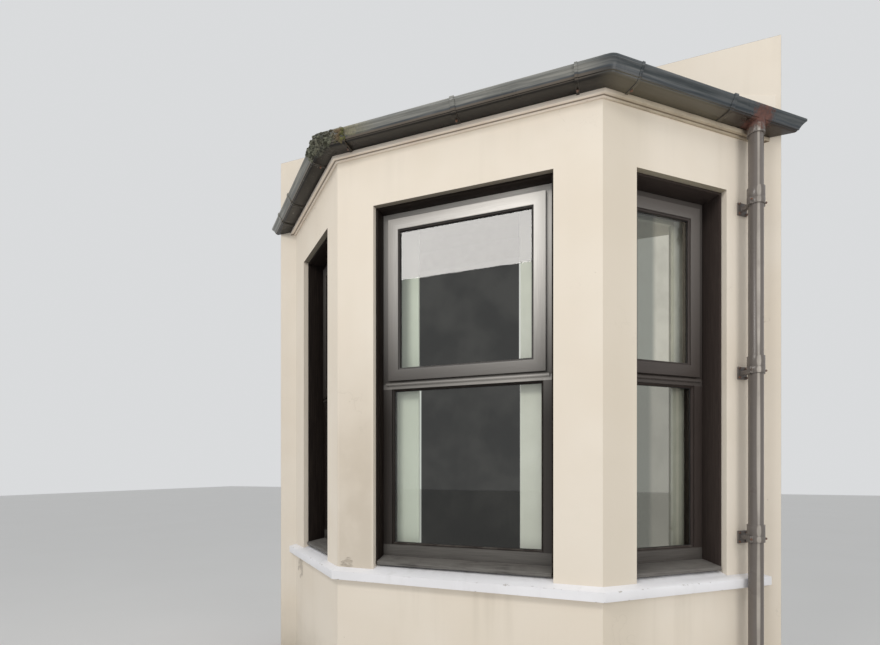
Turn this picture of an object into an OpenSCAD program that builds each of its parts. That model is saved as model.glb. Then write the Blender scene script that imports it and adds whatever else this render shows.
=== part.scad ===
// Canted bay window on a rendered brick house. The bay has three sides, a stone sill course, a hipped
// slate roof, a moulded cast-iron gutter and a downpipe, and it is bonded to a slice of the house wall.
// Millimetres. X runs along the house wall, -Y out of the bay and Z up from the ground. The origin lies
// at ground level on the outer face of the house wall, in the middle of the bay.

/* [Plan] */
// Width of the front face
front_w = 1400; // [1250:10:1700]
// Reach of the bay in front of the house wall
projection = 639; // [580:1:700]
// Angle between the front face and each splayed side
splay_angle = 40.5; // [37:0.5:44]
// Thickness of the walls of the bay
bay_wall_t = 255; // [235:5:280]
// Thickness of the house wall
house_wall_t = 290; // [255:5:340]
// House wall kept beyond the left corner of the bay
left_strip_w = 133; // [110:1:300]
// House wall kept beyond the right corner of the bay
right_strip_w = 99; // [85:1:300]
// Width of the opening in the front face
front_opening_w = 956; // [840:2:1040]
// Face of a corner pier on the splayed side
corner_pier_w = 193; // [160:1:220]
// Width of the opening in a splayed side
side_opening_w = 565; // [500:1:600]

/* [Levels] */
// Top of the floor boards
floor_z = 180; // [170:5:300]
// Underside of the stone sill course
sill_bed_z = 780; // [700:5:900]
// Height of the sill course where the piers stand on it
sill_h = 63; // [55:1:80]
// Underside of the lintels
head_z = 2800; // [2600:10:3000]
// Height of the lintels
lintel_h = 304; // [250:1:400]
// Underside of the ceiling above the window heads
ceiling_drop = 70; // [40:5:120]
// Height of house wall kept above the roof's flashing
wall_above_roof = 30; // [20:1:200]

/* [Stone sill] */
// Reach of the sill nosing in front of the wall face
sill_nose = 38; // [25:1:50]
// Height of the upright face of the nosing
sill_face_h = 45; // [35:1:50]
// Width of the sill's bed in the wall
sill_bed_w = 150; // [130:5:170]
// Rise of the weathering between the piers
weathering_h = 23; // [15:1:30]
// Width of the weathering between the piers
weathering_w = 60; // [50:1:75]

/* [Windows] */
// Depth of the front window's face behind the wall face
front_set_back = 100; // [85:1:115]
// Depth of a side window's face behind the wall face
side_set_back = 140; // [120:1:150]
// Depth of the window frames
frame_depth = 75; // [65:1:80]
// Face width of the frame members
frame_w = 63; // [55:1:75]
// Underside of the transom
transom_z = 1822; // [1600:1:2000]
// Face height of the transom
transom_h = 58; // [50:1:70]
// Face width of the sash members
sash_w = 60; // [50:1:68]
// How far the sash stands proud of the frame
sash_proud = 20; // [15:1:25]
// Thickness of the sash behind the frame's face
sash_rebate = 38; // [30:1:45]
// Lap of the sash over the frame
sash_lap = 15; // [10:1:20]
// Running gap round the sash in its rebate
sash_gap = 3; // [2:0.5:4]
// Width of the glazing beads
bead_w = 10; // [8:1:14]
// Thickness of the glazing beads
bead_t = 12; // [9:1:14]
// Thickness of the glass
glass_t = 6; // [4:1:8]
// Height of the timber sill under a frame
timber_sill_h = 39; // [35:1:50]
// Upright nose of the timber sill
timber_nose_h = 18; // [14:1:24]
// Depth of the timber nose behind the wall face
timber_nose_y = 20; // [10:1:28]
// Thickness of the lining boards in the outer reveals
lining_t = 12; // [10:1:16]
// Render return left bare in front of the lining boards
render_return = 30; // [29:1:45]
// Thickness of the inner window boards
board_t = 25; // [20:1:30]
// Reach of the inner window boards into the room
board_nose = 30; // [20:1:40]
// Thickness of the casing boards behind the frames
casing_t = 20; // [15:1:25]
// Face width of the casing boards at the front window's jambs
front_casing_w = 193; // [120:1:250]
// Face width of the casing boards at a side window's jambs
side_casing_w = 150; // [100:1:180]
// Face height of the casing boards at the window heads
casing_head_h = 110; // [80:5:150]

/* [Floor and ceiling] */
// Thickness of the floor boards
floor_board_t = 22; // [18:1:28]
// Depth of the floor joists
joist_h = 100; // [90:5:125]
// Thickness of the joists
joist_t = 50; // [38:1:63]
// Spacing of the joists
joist_step = 400; // [350:10:450]
// Width of the ledge that carries the joists
ledge_w = 60; // [50:5:80]
// Reach of the sleeper wall in front of the house wall
sleeper_reach = 60; // [40:5:80]
// Thickness of the ceiling
ceiling_t = 20; // [15:1:25]
// Depth of the ceiling joists
ceiling_joist_h = 75; // [60:5:100]
// Bearing of the beam on the house jambs
beam_bearing = 150; // [120:5:180]

/* [Eaves and roof] */
// Height of the lower step of the eaves moulding
moulding_low_h = 8; // [6:1:20]
// Reach of the lower step
moulding_low = 12; // [8:1:20]
// Height of the upper step of the eaves moulding
moulding_high_h = 22; // [16:1:36]
// Reach of the upper step
moulding_high = 32; // [31:1:38]
// Height of the fascia boards
fascia_h = 90; // [84:1:110]
// Thickness of the fascia boards
fascia_t = 20; // [16:1:25]
// Distance of the fascia's face from the wall face
fascia_out = 30; // [26:1:31]
// Pitch of the roof
roof_pitch = 22; // [18:0.5:24]
// Reach of the roof covering in front of the wall face
eaves_out = 50; // [40:1:58]
// Upright thickness of the slates and battens
covering_t = 40; // [30:1:50]
// Upright depth of the rafters
rafter_h = 90; // [75:5:100]
// Upright depth of the hip rafters
hip_rafter_h = 110; // [105:1:125]
// Thickness of the rafters
rafter_t = 45; // [38:1:50]
// Spacing of the rafters
rafter_step = 400; // [350:10:450]
// Width of the wall plate
plate_w = 100; // [75:5:120]
// Height of the wall plate
plate_h = 50; // [38:1:60]
// Radius of the lead rolls on the hips
hip_roll_r = 24; // [18:1:30]
// Height of the rolls' middle over the slates
hip_roll_lift = 8; // [4:1:12]
// Thickness of the lead flashing
flashing_t = 4; // [3:0.5:5]
// Width of the flashing on the slates
apron_w = 110; // [80:5:150]
// Height of the flashing's upstand on the wall
upstand_h = 90; // [60:5:100]

/* [Gutter] */
// Width of the gutter from back to lip
gutter_w = 108; // [100:1:116]
// Height of the gutter
gutter_h = 58; // [52:1:68]
// Width of the gutter's flat bed
gutter_bed_w = 70; // [62:1:76]
// Thickness of the castings
casting_t = 4; // [3:0.5:5]
// Radius of the roll at the foot of the gutter's face
ogee_low_r = 11; // [9:1:14]
// Radius of the hollow face above the roll
ogee_high_r = 80; // [60:5:100]
// Step between the roll and the hollow face
ogee_quirk = 4; // [2:0.5:5]
// Length of each arm of a corner fitting
corner_arm = 113; // [80:1:150]
// Thickness of the corner fittings over the gutter
corner_t = 5; // [4:0.5:7]
// Width of the collars on the corner fittings
collar_w = 14; // [10:1:20]
// Height of the collars over the fittings
collar_t = 4; // [3:0.5:6]
// Width of the gutter straps
strap_w = 24; // [18:1:32]
// Place of the strap on the front run
front_strap_x = 17; // [-200:1:200]
// Place of the first strap on the left run
left_strap_s = 620; // [400:1:800]
// Place of the strap near the left run's end
left_end_strap_s = 905; // [860:1:950]
// Place of the strap on the right run
right_strap_s = 660; // [400:1:700]

/* [Downpipe] */
// Outer diameter of the downpipe
pipe_d = 68; // [62:1:78]
// Wall of the downpipe
pipe_wall = 4; // [3:0.5:5]
// Distance of the pipe's axis from the wall face
pipe_out = 80; // [78:1:84]
// Gap between the pipe's top and the gutter
pipe_top_gap = 12; // [6:1:20]
// Place of the pipe along the right side
pipe_s = 860; // [800:1:880]
// Height of the pipe's lower bend above the ground
shoe_z = 170; // [150:1:220]
// Radius of the bend
shoe_r = 60; // [50:1:80]
// Angle of the bend
shoe_angle = 50; // [30:1:60]
// Length of the spout after the bend
spout = 70; // [50:1:80]
// Thickness of the sockets over the pipe
socket_t = 6; // [4:0.5:8]
// Height of the sockets
socket_h = 55; // [40:1:80]
// Height of the uppermost pipe bracket
bracket_top_z = 2698; // [2500:1:2760]
// Spacing of the pipe brackets
bracket_step = 840; // [700:10:900]
// Height of the lowest pipe bracket
low_bracket_z = 300; // [280:5:500]
// Height of the bracket rings
bracket_h = 32; // [24:1:40]
// Thickness of the bracket rings
bracket_t = 6; // [4:0.5:8]
// Width of the bracket arms
arm_w = 22; // [16:1:30]
// Side of the bracket back plates
wall_plate_w = 64; // [50:1:80]

/* [Hidden] */

$fn = 48;
render_colour = [0.93, 0.9, 0.83];
stone_colour = [0.88, 0.88, 0.88];
masonry_colour = [0.72, 0.66, 0.58];
brown_colour = [0.24, 0.19, 0.16];
timber_colour = [0.72, 0.58, 0.4];
plaster_colour = [0.92, 0.91, 0.88];
white_colour = [0.9, 0.9, 0.88];
glass_colour = [0.3, 0.33, 0.33, 0.6];
slate_colour = [0.33, 0.35, 0.38];
lead_colour = [0.5, 0.52, 0.54];
iron_colour = [0.3, 0.32, 0.33];

// How far a cutting shape runs past the faces that it cuts
over = 1;
// Reach of shapes that stand for all of one side of a plane
far = 3000;
// Height above the whole model
above_all = far + far;

half_front = front_w / 2;
splay_len = projection / sin(splay_angle);
bay_corner_x = half_front + projection / tan(splay_angle);
side_opening_end = corner_pier_w + side_opening_w;
side_window_s = corner_pier_w + side_opening_w / 2;
left_edge = bay_corner_x + left_strip_w;
right_edge = bay_corner_x + right_strip_w;

pier_z = sill_bed_z + sill_h;
frame_sill_z = pier_z + weathering_h;
frame_z = frame_sill_z + timber_sill_h;
wall_head_z = head_z + lintel_h;
ceiling_z = head_z + ceiling_drop;
joist_z = floor_z - floor_board_t - joist_h;

fascia_top_z = wall_head_z + fascia_h;
gutter_z = wall_head_z;
gutter_top_z = gutter_z + gutter_h;
lip_out = fascia_out + gutter_w;
course_reach = 2 * lip_out;
// Turn of the roll's end towards the hollow face of the gutter
ogee_turn = 15;
// Facets of each curve in the gutter's section
ogee_steps = 8;
pipe_r = pipe_d / 2;
pipe_top_z = gutter_z - pipe_top_gap;
// Clearance of the pipe in its outlet and its brackets
fit_gap = 0.4;
bracket_heights = [
    bracket_top_z, bracket_top_z - bracket_step, bracket_top_z - 2 * bracket_step, low_bracket_z
];

// Corner of the right side at a distance out from the wall faces
function corner(out) = [half_front + out * tan(splay_angle / 2), -projection - out];

// Point of the right side at a distance out from its face, where it reaches the line y
function at_wall(out, y = 0) = [corner(out)[0] + (y - corner(out)[1]) / tan(splay_angle), y];

// Point at a distance s along the right side and a distance out from its face
function along(s, out) = [
    half_front + s * cos(splay_angle) + out * sin(splay_angle),
    -projection + s * sin(splay_angle) - out * cos(splay_angle)
];

function mirrored(p) = [-p[0], p[1]];

// Underside of the roof covering at a distance out from the wall face
function roof_z(out) = fascia_top_z + (fascia_out - out) * tan(roof_pitch);

room_half = along(side_opening_end, -bay_wall_t)[0];
house_top_z = roof_z(-projection) + covering_t + upstand_h + wall_above_roof;

// The three sides are placed by these: x along the side, y into the house, the wall face at y = 0
module on_front() {
    translate([0, -projection, 0]) children();
}

module on_right() {
    translate([half_front, -projection, 0]) rotate(splay_angle) children();
}

module on_left() {
    mirror([1, 0, 0]) on_right() children();
}

module on_right_window() {
    on_right() translate([side_window_s, 0, 0]) children();
}

module on_left_window() {
    mirror([1, 0, 0]) on_right_window() children();
}

// Plan of the front between two distances out from its face, mitred at both corners
module front_strip(outer, inner) {
    polygon([mirrored(corner(outer)), corner(outer), corner(inner), mirrored(corner(inner))]);
}

// Plan of the right side, mitred at the corner and cut at the house wall
module side_strip(outer, inner) {
    polygon([corner(outer), at_wall(outer), at_wall(inner), corner(inner)]);
}

// Plan of the whole bay out to a distance from its faces
module bay_plan(outer) {
    polygon([
        mirrored(at_wall(outer)), mirrored(corner(outer)), corner(outer), at_wall(outer)
    ]);
}

// Plan of a strip round all three sides
module round_strip(outer, inner) {
    polygon([
        mirrored(at_wall(outer)), mirrored(corner(outer)), corner(outer), at_wall(outer),
        at_wall(inner), corner(inner), mirrored(corner(inner)), mirrored(at_wall(inner))
    ]);
}

// Upright prism between two levels
module prism(low, high) {
    translate([0, 0, low]) linear_extrude(high - low) children();
}

// Section drawn as (distance into the wall, height), run along x
module run(from, to) {
    translate([from, 0, 0]) rotate([90, 0, 90]) linear_extrude(to - from) children();
}

// Section run along the front, mitred at both corners
module front_course() {
    intersection() {
        prism(0, above_all) front_strip(course_reach, -course_reach);
        on_front() run(-far, far) children();
    }
}

// Section run along the right side, mitred at the corner and cut at the house wall
module side_course() {
    intersection() {
        prism(0, above_all) side_strip(course_reach, -course_reach);
        on_right() run(-far, far) children();
    }
}

// Walls

module front_base() {
    prism(0, sill_bed_z) front_strip(0, -bay_wall_t);
    prism(0, pier_z) front_strip(-sill_bed_w, -bay_wall_t);
    prism(0, joist_z) front_strip(-bay_wall_t, -bay_wall_t - ledge_w);
    on_front() translate([-front_opening_w / 2, sill_bed_w, 0])
        cube([front_opening_w, bay_wall_t - sill_bed_w, frame_sill_z]);
}

module side_base() {
    prism(0, sill_bed_z) side_strip(0, -bay_wall_t);
    prism(0, pier_z) side_strip(-sill_bed_w, -bay_wall_t);
    prism(0, joist_z) side_strip(-bay_wall_t, -bay_wall_t - ledge_w);
    intersection() {
        prism(0, frame_sill_z) side_strip(-sill_bed_w, -bay_wall_t);
        on_right_window() translate([-side_opening_w / 2, sill_bed_w, 0])
            cube([side_opening_w, bay_wall_t, frame_sill_z]);
    }
}

module sill_section() {
    polygon([
        [-sill_nose, sill_bed_z],
        [sill_bed_w, sill_bed_z],
        [sill_bed_w, pier_z],
        [0, pier_z],
        [-sill_nose, sill_bed_z + sill_face_h]
    ]);
}

// Sloping top of the sill in an opening
module weathering(opening_w) {
    run(-opening_w / 2, opening_w / 2) polygon([
        [0, pier_z],
        [sill_bed_w, pier_z],
        [sill_bed_w, frame_sill_z],
        [weathering_w, frame_sill_z]
    ]);
}

module right_sill_course() {
    side_course() sill_section();
    on_right_window() weathering(side_opening_w);
}

module corner_pier() {
    prism(pier_z, head_z) polygon([
        [front_opening_w / 2, -projection],
        corner(0),
        along(corner_pier_w, 0),
        along(corner_pier_w, -bay_wall_t),
        corner(-bay_wall_t),
        [front_opening_w / 2, -projection + bay_wall_t]
    ]);
}

module end_pier() {
    intersection() {
        prism(pier_z, head_z) side_strip(0, -bay_wall_t);
        on_right() translate([side_opening_end, -over, 0]) cube([far, far, far + far]);
    }
}

module side_lintel() {
    prism(head_z, wall_head_z) side_strip(0, -bay_wall_t);
}

// Pier of the house wall beside the room opening, cut back by the reveal of the side window
module house_jamb(edge) {
    difference() {
        translate([room_half, 0, 0]) cube([edge - room_half, house_wall_t, head_z]);
        on_right() translate([corner_pier_w, -over, frame_sill_z])
            cube([side_opening_w, far, far]);
    }
}

module beam() {
    translate([-room_half - beam_bearing, 0, head_z])
        cube([2 * (room_half + beam_bearing), house_wall_t, lintel_h]);
}

module wall_over() {
    difference() {
        translate([-left_edge, 0, head_z])
            cube([left_edge + right_edge, house_wall_t, house_top_z - head_z]);
        translate([-room_half - beam_bearing, -over, head_z - over])
            cube([2 * (room_half + beam_bearing), house_wall_t + 2 * over, lintel_h + over]);
    }
}

// Inside

module sleeper() {
    ledge = -bay_wall_t - ledge_w;
    prism(0, joist_z) polygon([
        mirrored(at_wall(ledge, -sleeper_reach)), at_wall(ledge, -sleeper_reach),
        at_wall(ledge), [room_half, 0], [room_half, house_wall_t],
        [-room_half, house_wall_t], [-room_half, 0], mirrored(at_wall(ledge))
    ]);
}

module inner_plan() {
    inner = -bay_wall_t;
    polygon([
        mirrored(corner(inner)), corner(inner), at_wall(inner),
        [room_half, 0], [room_half, house_wall_t],
        [-room_half, house_wall_t], [-room_half, 0], mirrored(at_wall(inner))
    ]);
}

module joists() {
    count = floor(room_half / joist_step);
    intersection() {
        prism(joist_z, joist_z + joist_h) inner_plan();
        for (i = [-count:count])
            translate([i * joist_step - joist_t / 2, -projection, 0]) cube([joist_t, far, far]);
    }
}

module boards() {
    prism(floor_z - floor_board_t, floor_z) inner_plan();
}

module ceiling_slab() {
    count = floor(corner(-bay_wall_t)[0] / joist_step);
    prism(ceiling_z, ceiling_z + ceiling_t) bay_plan(-bay_wall_t);
    for (i = [-count:count])
        translate([i * joist_step - joist_t / 2, -projection + bay_wall_t, ceiling_z])
            cube([joist_t, projection - bay_wall_t, ceiling_t + ceiling_joist_h]);
}

module window_board(opening_w, set_back) {
    translate([-opening_w / 2, set_back + frame_depth, frame_sill_z])
        cube([opening_w, bay_wall_t + board_nose - set_back - frame_depth, board_t]);
}

// Boards behind the jambs and the head of a window frame
module casing(opening_w, set_back, face_w) {
    low = frame_sill_z + board_t;
    difference() {
        translate([-opening_w / 2, set_back + frame_depth, low])
            cube([opening_w, casing_t, head_z - low]);
        translate([-opening_w / 2 + face_w, set_back + frame_depth - over, low - over])
            cube([opening_w - 2 * face_w, casing_t + 2 * over, head_z - low - casing_head_h + over]);
    }
}

// Windows, drawn about the middle of their opening

// Ring of rectangular section in the window's plane
module ring(w, low, high, face, front_y, depth) {
    translate([0, front_y + depth, 0]) rotate([90, 0, 0]) linear_extrude(depth) difference() {
        translate([-w / 2, low]) square([w, high - low]);
        translate([-w / 2 + face, low + face]) square([w - 2 * face, high - low - 2 * face]);
    }
}

// Frame with its transom, its timber sill and the beads of the fixed lower light
module window_frame(opening_w, set_back) {
    light_w = opening_w - 2 * frame_w;
    ring(opening_w, frame_z, head_z, frame_w, set_back, frame_depth);
    translate([-opening_w / 2, set_back, transom_z]) cube([opening_w, frame_depth, transom_h]);
    ring(light_w, frame_z + frame_w, transom_z, bead_w, set_back + bead_t, bead_t);
    ring(light_w, frame_z + frame_w, transom_z, bead_w, set_back + 2 * bead_t + glass_t, bead_t);
    run(-opening_w / 2 + lining_t, opening_w / 2 - lining_t) polygon([
        [timber_nose_y, frame_sill_z],
        [set_back + over, frame_sill_z],
        [set_back + over, frame_z],
        [set_back, frame_z],
        [timber_nose_y, frame_sill_z + timber_nose_h]
    ]);
    translate([-opening_w / 2, set_back, frame_sill_z]) cube([opening_w, frame_depth, timber_sill_h]);
}

module fixed_glass(opening_w, set_back) {
    light_w = opening_w - 2 * frame_w;
    translate([-light_w / 2, set_back + 2 * bead_t, frame_z + frame_w])
        cube([light_w, glass_t, transom_z - frame_z - frame_w]);
}

// Top-hung sash that laps the frame's face and sits in its rebate
module sash(opening_w, set_back) {
    light_w = opening_w - 2 * frame_w;
    low = transom_z + transom_h;
    high = head_z - frame_w;
    lapped_w = light_w + 2 * sash_lap;
    pane_w = lapped_w - 2 * sash_w;
    ring(lapped_w, low - sash_lap, high + sash_lap, sash_w, set_back - sash_proud, sash_proud);
    ring(light_w - 2 * sash_gap, low + sash_gap, high - sash_gap, sash_w - sash_lap - sash_gap,
        set_back - over, sash_rebate + over);
    ring(pane_w, low - sash_lap + sash_w, high + sash_lap - sash_w, bead_w,
        set_back - bead_t, bead_t);
    ring(pane_w, low - sash_lap + sash_w, high + sash_lap - sash_w, bead_w,
        set_back + glass_t, bead_t);
}

module sash_glass(opening_w, set_back) {
    pane_w = opening_w - 2 * (frame_w - sash_lap + sash_w);
    low = transom_z + transom_h - sash_lap + sash_w;
    high = head_z - frame_w + sash_lap - sash_w;
    translate([-pane_w / 2, set_back, low]) cube([pane_w, glass_t, high - low]);
}

module glass(opening_w, set_back) {
    fixed_glass(opening_w, set_back);
    sash_glass(opening_w, set_back);
}

// Boards on the jambs and head of the outer reveal
module lining(opening_w, set_back) {
    difference() {
        translate([-opening_w / 2, render_return, frame_sill_z])
            cube([opening_w, set_back - render_return, head_z - frame_sill_z]);
        translate([-opening_w / 2 + lining_t, render_return - over, frame_sill_z - over])
            cube([opening_w - 2 * lining_t, set_back, head_z - frame_sill_z - lining_t + over]);
    }
}

// Eaves and roof

// Two steps round all three sides
module moulding() {
    step_z = wall_head_z - moulding_high_h;
    prism(step_z, wall_head_z) round_strip(moulding_high, 0);
    prism(step_z - moulding_low_h, step_z) round_strip(moulding_low, 0);
}

module fascia() {
    prism(wall_head_z, fascia_top_z) round_strip(fascia_out, fascia_out - fascia_t);
}

// Space under one slope, raised by an amount from the covering's underside
module under_slope(raise) {
    run(-far, far) polygon([
        [-far, wall_head_z],
        [far, wall_head_z],
        [far, roof_z(-far) + raise],
        [-eaves_out, roof_z(eaves_out) + raise],
        [-far, roof_z(eaves_out) + raise]
    ]);
}

// Space under the hipped roof
module under_roof(raise, reach) {
    intersection() {
        prism(wall_head_z, above_all) bay_plan(reach);
        on_front() under_slope(raise);
        on_right() under_slope(raise);
        on_left() under_slope(raise);
    }
}

module slope_section() {
    inner = projection + over;
    polygon([
        [-eaves_out, roof_z(eaves_out)],
        [inner, roof_z(-inner)],
        [inner, roof_z(-inner) + covering_t],
        [-eaves_out, roof_z(eaves_out) + covering_t]
    ]);
}

module front_slope() {
    intersection() {
        prism(wall_head_z, above_all) front_strip(eaves_out, -projection);
        on_front() run(-far, far) slope_section();
    }
}

module right_slope() {
    intersection() {
        prism(wall_head_z, above_all)
            polygon([corner(eaves_out), at_wall(eaves_out), corner(-projection)]);
        on_right() run(-far, far) slope_section();
    }
}

// Right hip rafter from the wall's corner up, flat underneath and not yet cut to the slopes
module hip_rafter() {
    rise = cos(splay_angle / 2) * tan(roof_pitch);
    foot_z = roof_z(0) - hip_rafter_h;
    translate([half_front, -projection, 0]) rotate([90, 0, 90 + splay_angle / 2])
        translate([0, 0, -rafter_t / 2]) linear_extrude(rafter_t)
            polygon([[-over, foot_z], [far, foot_z + far * rise], [far, far + far], [-over, far + far]]);
}

module rafters() {
    reach = fascia_out - fascia_t;
    front_count = floor(corner(-projection)[0] / rafter_step);
    side_count = floor(splay_len / rafter_step);
    intersection() {
        difference() {
            under_roof(0, reach);
            under_roof(-rafter_h, reach + over);
        }
        union() {
            for (i = [-front_count:front_count])
                on_front() translate([i * rafter_step - rafter_t / 2, -far / 2, wall_head_z])
                    cube([rafter_t, far, far]);
            intersection() {
                prism(wall_head_z, above_all)
                    polygon([corner(reach), at_wall(reach), corner(-projection)]);
                on_right() side_plates(side_count);
            }
            intersection() {
                prism(wall_head_z, above_all) polygon([
                    mirrored(corner(reach)), mirrored(at_wall(reach)), mirrored(corner(-projection))
                ]);
                on_left() side_plates(side_count);
            }
        }
    }
    intersection() {
        under_roof(0, reach);
        union() {
            hip_rafter();
            mirror([1, 0, 0]) hip_rafter();
        }
    }
    prism(wall_head_z, wall_head_z + plate_h) round_strip(0, -plate_w);
}

module side_plates(count) {
    for (i = [1:count])
        translate([(i - 0.5) * rafter_step - rafter_t / 2, -far / 2, wall_head_z])
            cube([rafter_t, far, far]);
}

// Lead roll on the right hip, cut to the slopes that it sits on
module hip_roll() {
    foot = corner(eaves_out);
    top = corner(apron_w - projection);
    rise = roof_z(apron_w - projection) - roof_z(eaves_out);
    reach = norm(top - foot);
    difference() {
        translate([foot[0], foot[1], roof_z(eaves_out) + covering_t + hip_roll_lift])
            rotate([0, 90 - atan2(rise, reach), atan2(top[1] - foot[1], top[0] - foot[0])])
                cylinder(h = norm([reach, rise]), r = hip_roll_r);
        under_roof(covering_t, eaves_out + hip_roll_r + over);
    }
}

module flashing() {
    intersection() {
        difference() {
            under_roof(covering_t + flashing_t, eaves_out);
            under_roof(covering_t, eaves_out + over);
        }
        translate([-far, -apron_w, 0]) cube([far + far, apron_w, far + far]);
    }
    intersection() {
        difference() {
            under_roof(covering_t + upstand_h, eaves_out);
            under_roof(covering_t, eaves_out + over);
        }
        translate([-far, -flashing_t, 0]) cube([far + far, flashing_t, far + far]);
    }
}

// Gutter

// Curve of the gutter's outside, from the foot of its back to the top of its lip, moved out by an amount
function ogee(out) =
    let (
        low = [fascia_out + gutter_bed_w, gutter_z + ogee_low_r],
        high = low + (ogee_low_r + ogee_high_r) * [cos(ogee_turn), -sin(ogee_turn)] + [ogee_quirk, 0],
        low_turn = 90 - ogee_turn,
        high_turn = 180 - ogee_turn - acos((lip_out - high[0]) / ogee_high_r),
        low_arc = [for (i = [0:ogee_steps])
            let (a = -90 + low_turn * i / ogee_steps)
            low + (ogee_low_r + out) * [cos(a), sin(a)]],
        high_arc = [for (i = [0:ogee_steps])
            let (a = 180 - ogee_turn - high_turn * i / ogee_steps)
            high + (ogee_high_r - out) * [cos(a), sin(a)]],
        lip_foot = high_arc[ogee_steps][1]
    )
    concat(low_arc, high_arc, [[lip_out + out, lip_foot], [lip_out + out, gutter_top_z]]);

function outwards(points) = [for (p = points) [-p[0], p[1]]];

function reversed(points) = [for (i = [len(points) - 1:-1:0]) points[i]];

// Section of a sleeve under the gutter, from the moulding's face to the lip
module sleeve_section(outer) {
    polygon(outwards(concat(
        [[moulding_high, gutter_z - outer]], ogee(outer), reversed(ogee(0)), [[moulding_high, gutter_z]]
    )));
}

module gutter_section() {
    polygon(outwards(concat(
        [[fascia_out, gutter_top_z], [fascia_out, gutter_z]], ogee(0),
        reversed(ogee(-casting_t)),
        [[fascia_out + casting_t, gutter_z + casting_t], [fascia_out + casting_t, gutter_top_z]]
    )));
}

module filled_section() {
    polygon(outwards(concat([[fascia_out, gutter_top_z], [fascia_out, gutter_z]], ogee(0))));
}

// Space beside the mitre at the right corner, on the side's part of it or on the front's
module side_of_mitre() {
    prism(0, above_all)
        polygon([corner(-lip_out), corner(far), along(far, far), along(far, -lip_out)]);
}

module front_of_mitre() {
    prism(0, above_all) front_strip(lip_out + lip_out, 0);
}

// Run of gutter from the corner to the house wall, closed by a plate against the wall
module side_gutter() {
    intersection() {
        side_of_mitre();
        translate([0, -far, 0]) cube([far, far, above_all]);
        on_right() run(-far, far) gutter_section();
    }
    intersection() {
        translate([0, -casting_t, 0]) cube([far, casting_t, above_all]);
        on_right() run(0, far) filled_section();
    }
}

module right_gutter_run() {
    difference() {
        side_gutter();
        on_right() translate([pipe_s, -pipe_out, gutter_z - over])
            cylinder(h = ogee_low_r + over, r = pipe_r - pipe_wall);
    }
}

// Sleeve round the gutter at a corner, its two halves mirrored in the mitre
module corner_fitting() {
    translate([half_front, -projection, 0]) rotate(splay_angle / 2) {
        half_fitting();
        mirror([1, 0, 0]) half_fitting();
    }
}

// Half of a corner fitting with the collar at its end
module half_fitting() {
    intersection() {
        translate([0, -far, 0]) cube([far, far + far, above_all]);
        rotate(splay_angle / 2) {
            run(-corner_arm, corner_arm) sleeve_section(corner_t);
            run(corner_arm - collar_w, corner_arm) sleeve_section(corner_t + collar_t);
        }
    }
}

// Strap under the gutter, hooked over its lip
module strap() {
    run(-strap_w / 2, strap_w / 2) sleeve_section(casting_t);
    translate([-strap_w / 2, -lip_out - casting_t, gutter_top_z])
        cube([strap_w, 2 * casting_t, casting_t]);
}

// Nozzle under the gutter, shaped to its underside
module outlet() {
    difference() {
        translate([0, 0, gutter_z - socket_h]) cylinder(h = socket_h + gutter_h / 2, r = pipe_r + socket_t);
        translate([0, 0, gutter_z - socket_h - over])
            cylinder(h = socket_h + ogee_low_r + over, r = pipe_r + fit_gap);
        translate([0, pipe_out, 0]) run(-far, far) filled_section();
    }
}

// Downpipe, drawn about its axis

module pipe_shape(r) {
    translate([0, 0, shoe_z]) cylinder(h = pipe_top_z - shoe_z, r = r);
    translate([0, -shoe_r, shoe_z]) rotate([0, 90, 0]) rotate([0, 0, 90]) mirror([0, 1, 0])
        rotate_extrude(angle = shoe_angle) translate([shoe_r, 0]) circle(r);
    at_bend_end() cylinder(h = spout, r = r);
}

// Places shapes at the lower end of the bend, with Z down the spout
module at_bend_end() {
    translate([0, shoe_r * (cos(shoe_angle) - 1), shoe_z - shoe_r * sin(shoe_angle)])
        rotate([180 - shoe_angle, 0, 0]) children();
}

module pipe() {
    difference() {
        union() {
            pipe_shape(pipe_r);
            for (z = bracket_heights)
                translate([0, 0, z + bracket_h]) cylinder(h = socket_h, r = pipe_r + socket_t);
            translate([0, 0, shoe_z - socket_t]) cylinder(h = socket_h, r = pipe_r + socket_t);
            at_bend_end() translate([0, 0, -socket_t]) cylinder(h = 2 * socket_t, r = pipe_r + socket_t / 2);
        }
        pipe_shape(pipe_r - pipe_wall);
        translate([0, 0, pipe_top_z - over]) cylinder(h = 2 * over, r = pipe_r - pipe_wall);
    }
}

// Ring round the pipe on an arm from the wall
module pipe_bracket() {
    ring_r = pipe_r + fit_gap + bracket_t;
    difference() {
        union() {
            cylinder(h = bracket_h, r = ring_r);
            translate([-ring_r - arm_w / 2, -arm_w / 2, 0]) cube([2 * ring_r + arm_w, arm_w, bracket_h]);
            translate([-arm_w / 2, 0, (bracket_h - arm_w) / 2]) cube([arm_w, pipe_out, arm_w]);
        }
        translate([0, 0, -over]) cylinder(h = bracket_h + 2 * over, r = pipe_r + fit_gap);
    }
    translate([-wall_plate_w / 2, pipe_out - bracket_t, (bracket_h - wall_plate_w) / 2])
        cube([wall_plate_w, bracket_t, wall_plate_w]);
}

module on_pipe() {
    on_right() translate([pipe_s, -pipe_out, 0]) children();
}

// Nodes

module front_base_wall() {
    color(render_colour) front_base();
}

module left_base_wall() {
    color(render_colour) mirror([1, 0, 0]) side_base();
}

module right_base_wall() {
    color(render_colour) side_base();
}

module front_sill() {
    color(stone_colour) {
        front_course() sill_section();
        on_front() weathering(front_opening_w);
    }
}

module left_sill() {
    color(stone_colour) mirror([1, 0, 0]) right_sill_course();
}

module right_sill() {
    color(stone_colour) right_sill_course();
}

module left_corner_pier() {
    color(render_colour) mirror([1, 0, 0]) corner_pier();
}

module right_corner_pier() {
    color(render_colour) corner_pier();
}

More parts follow.
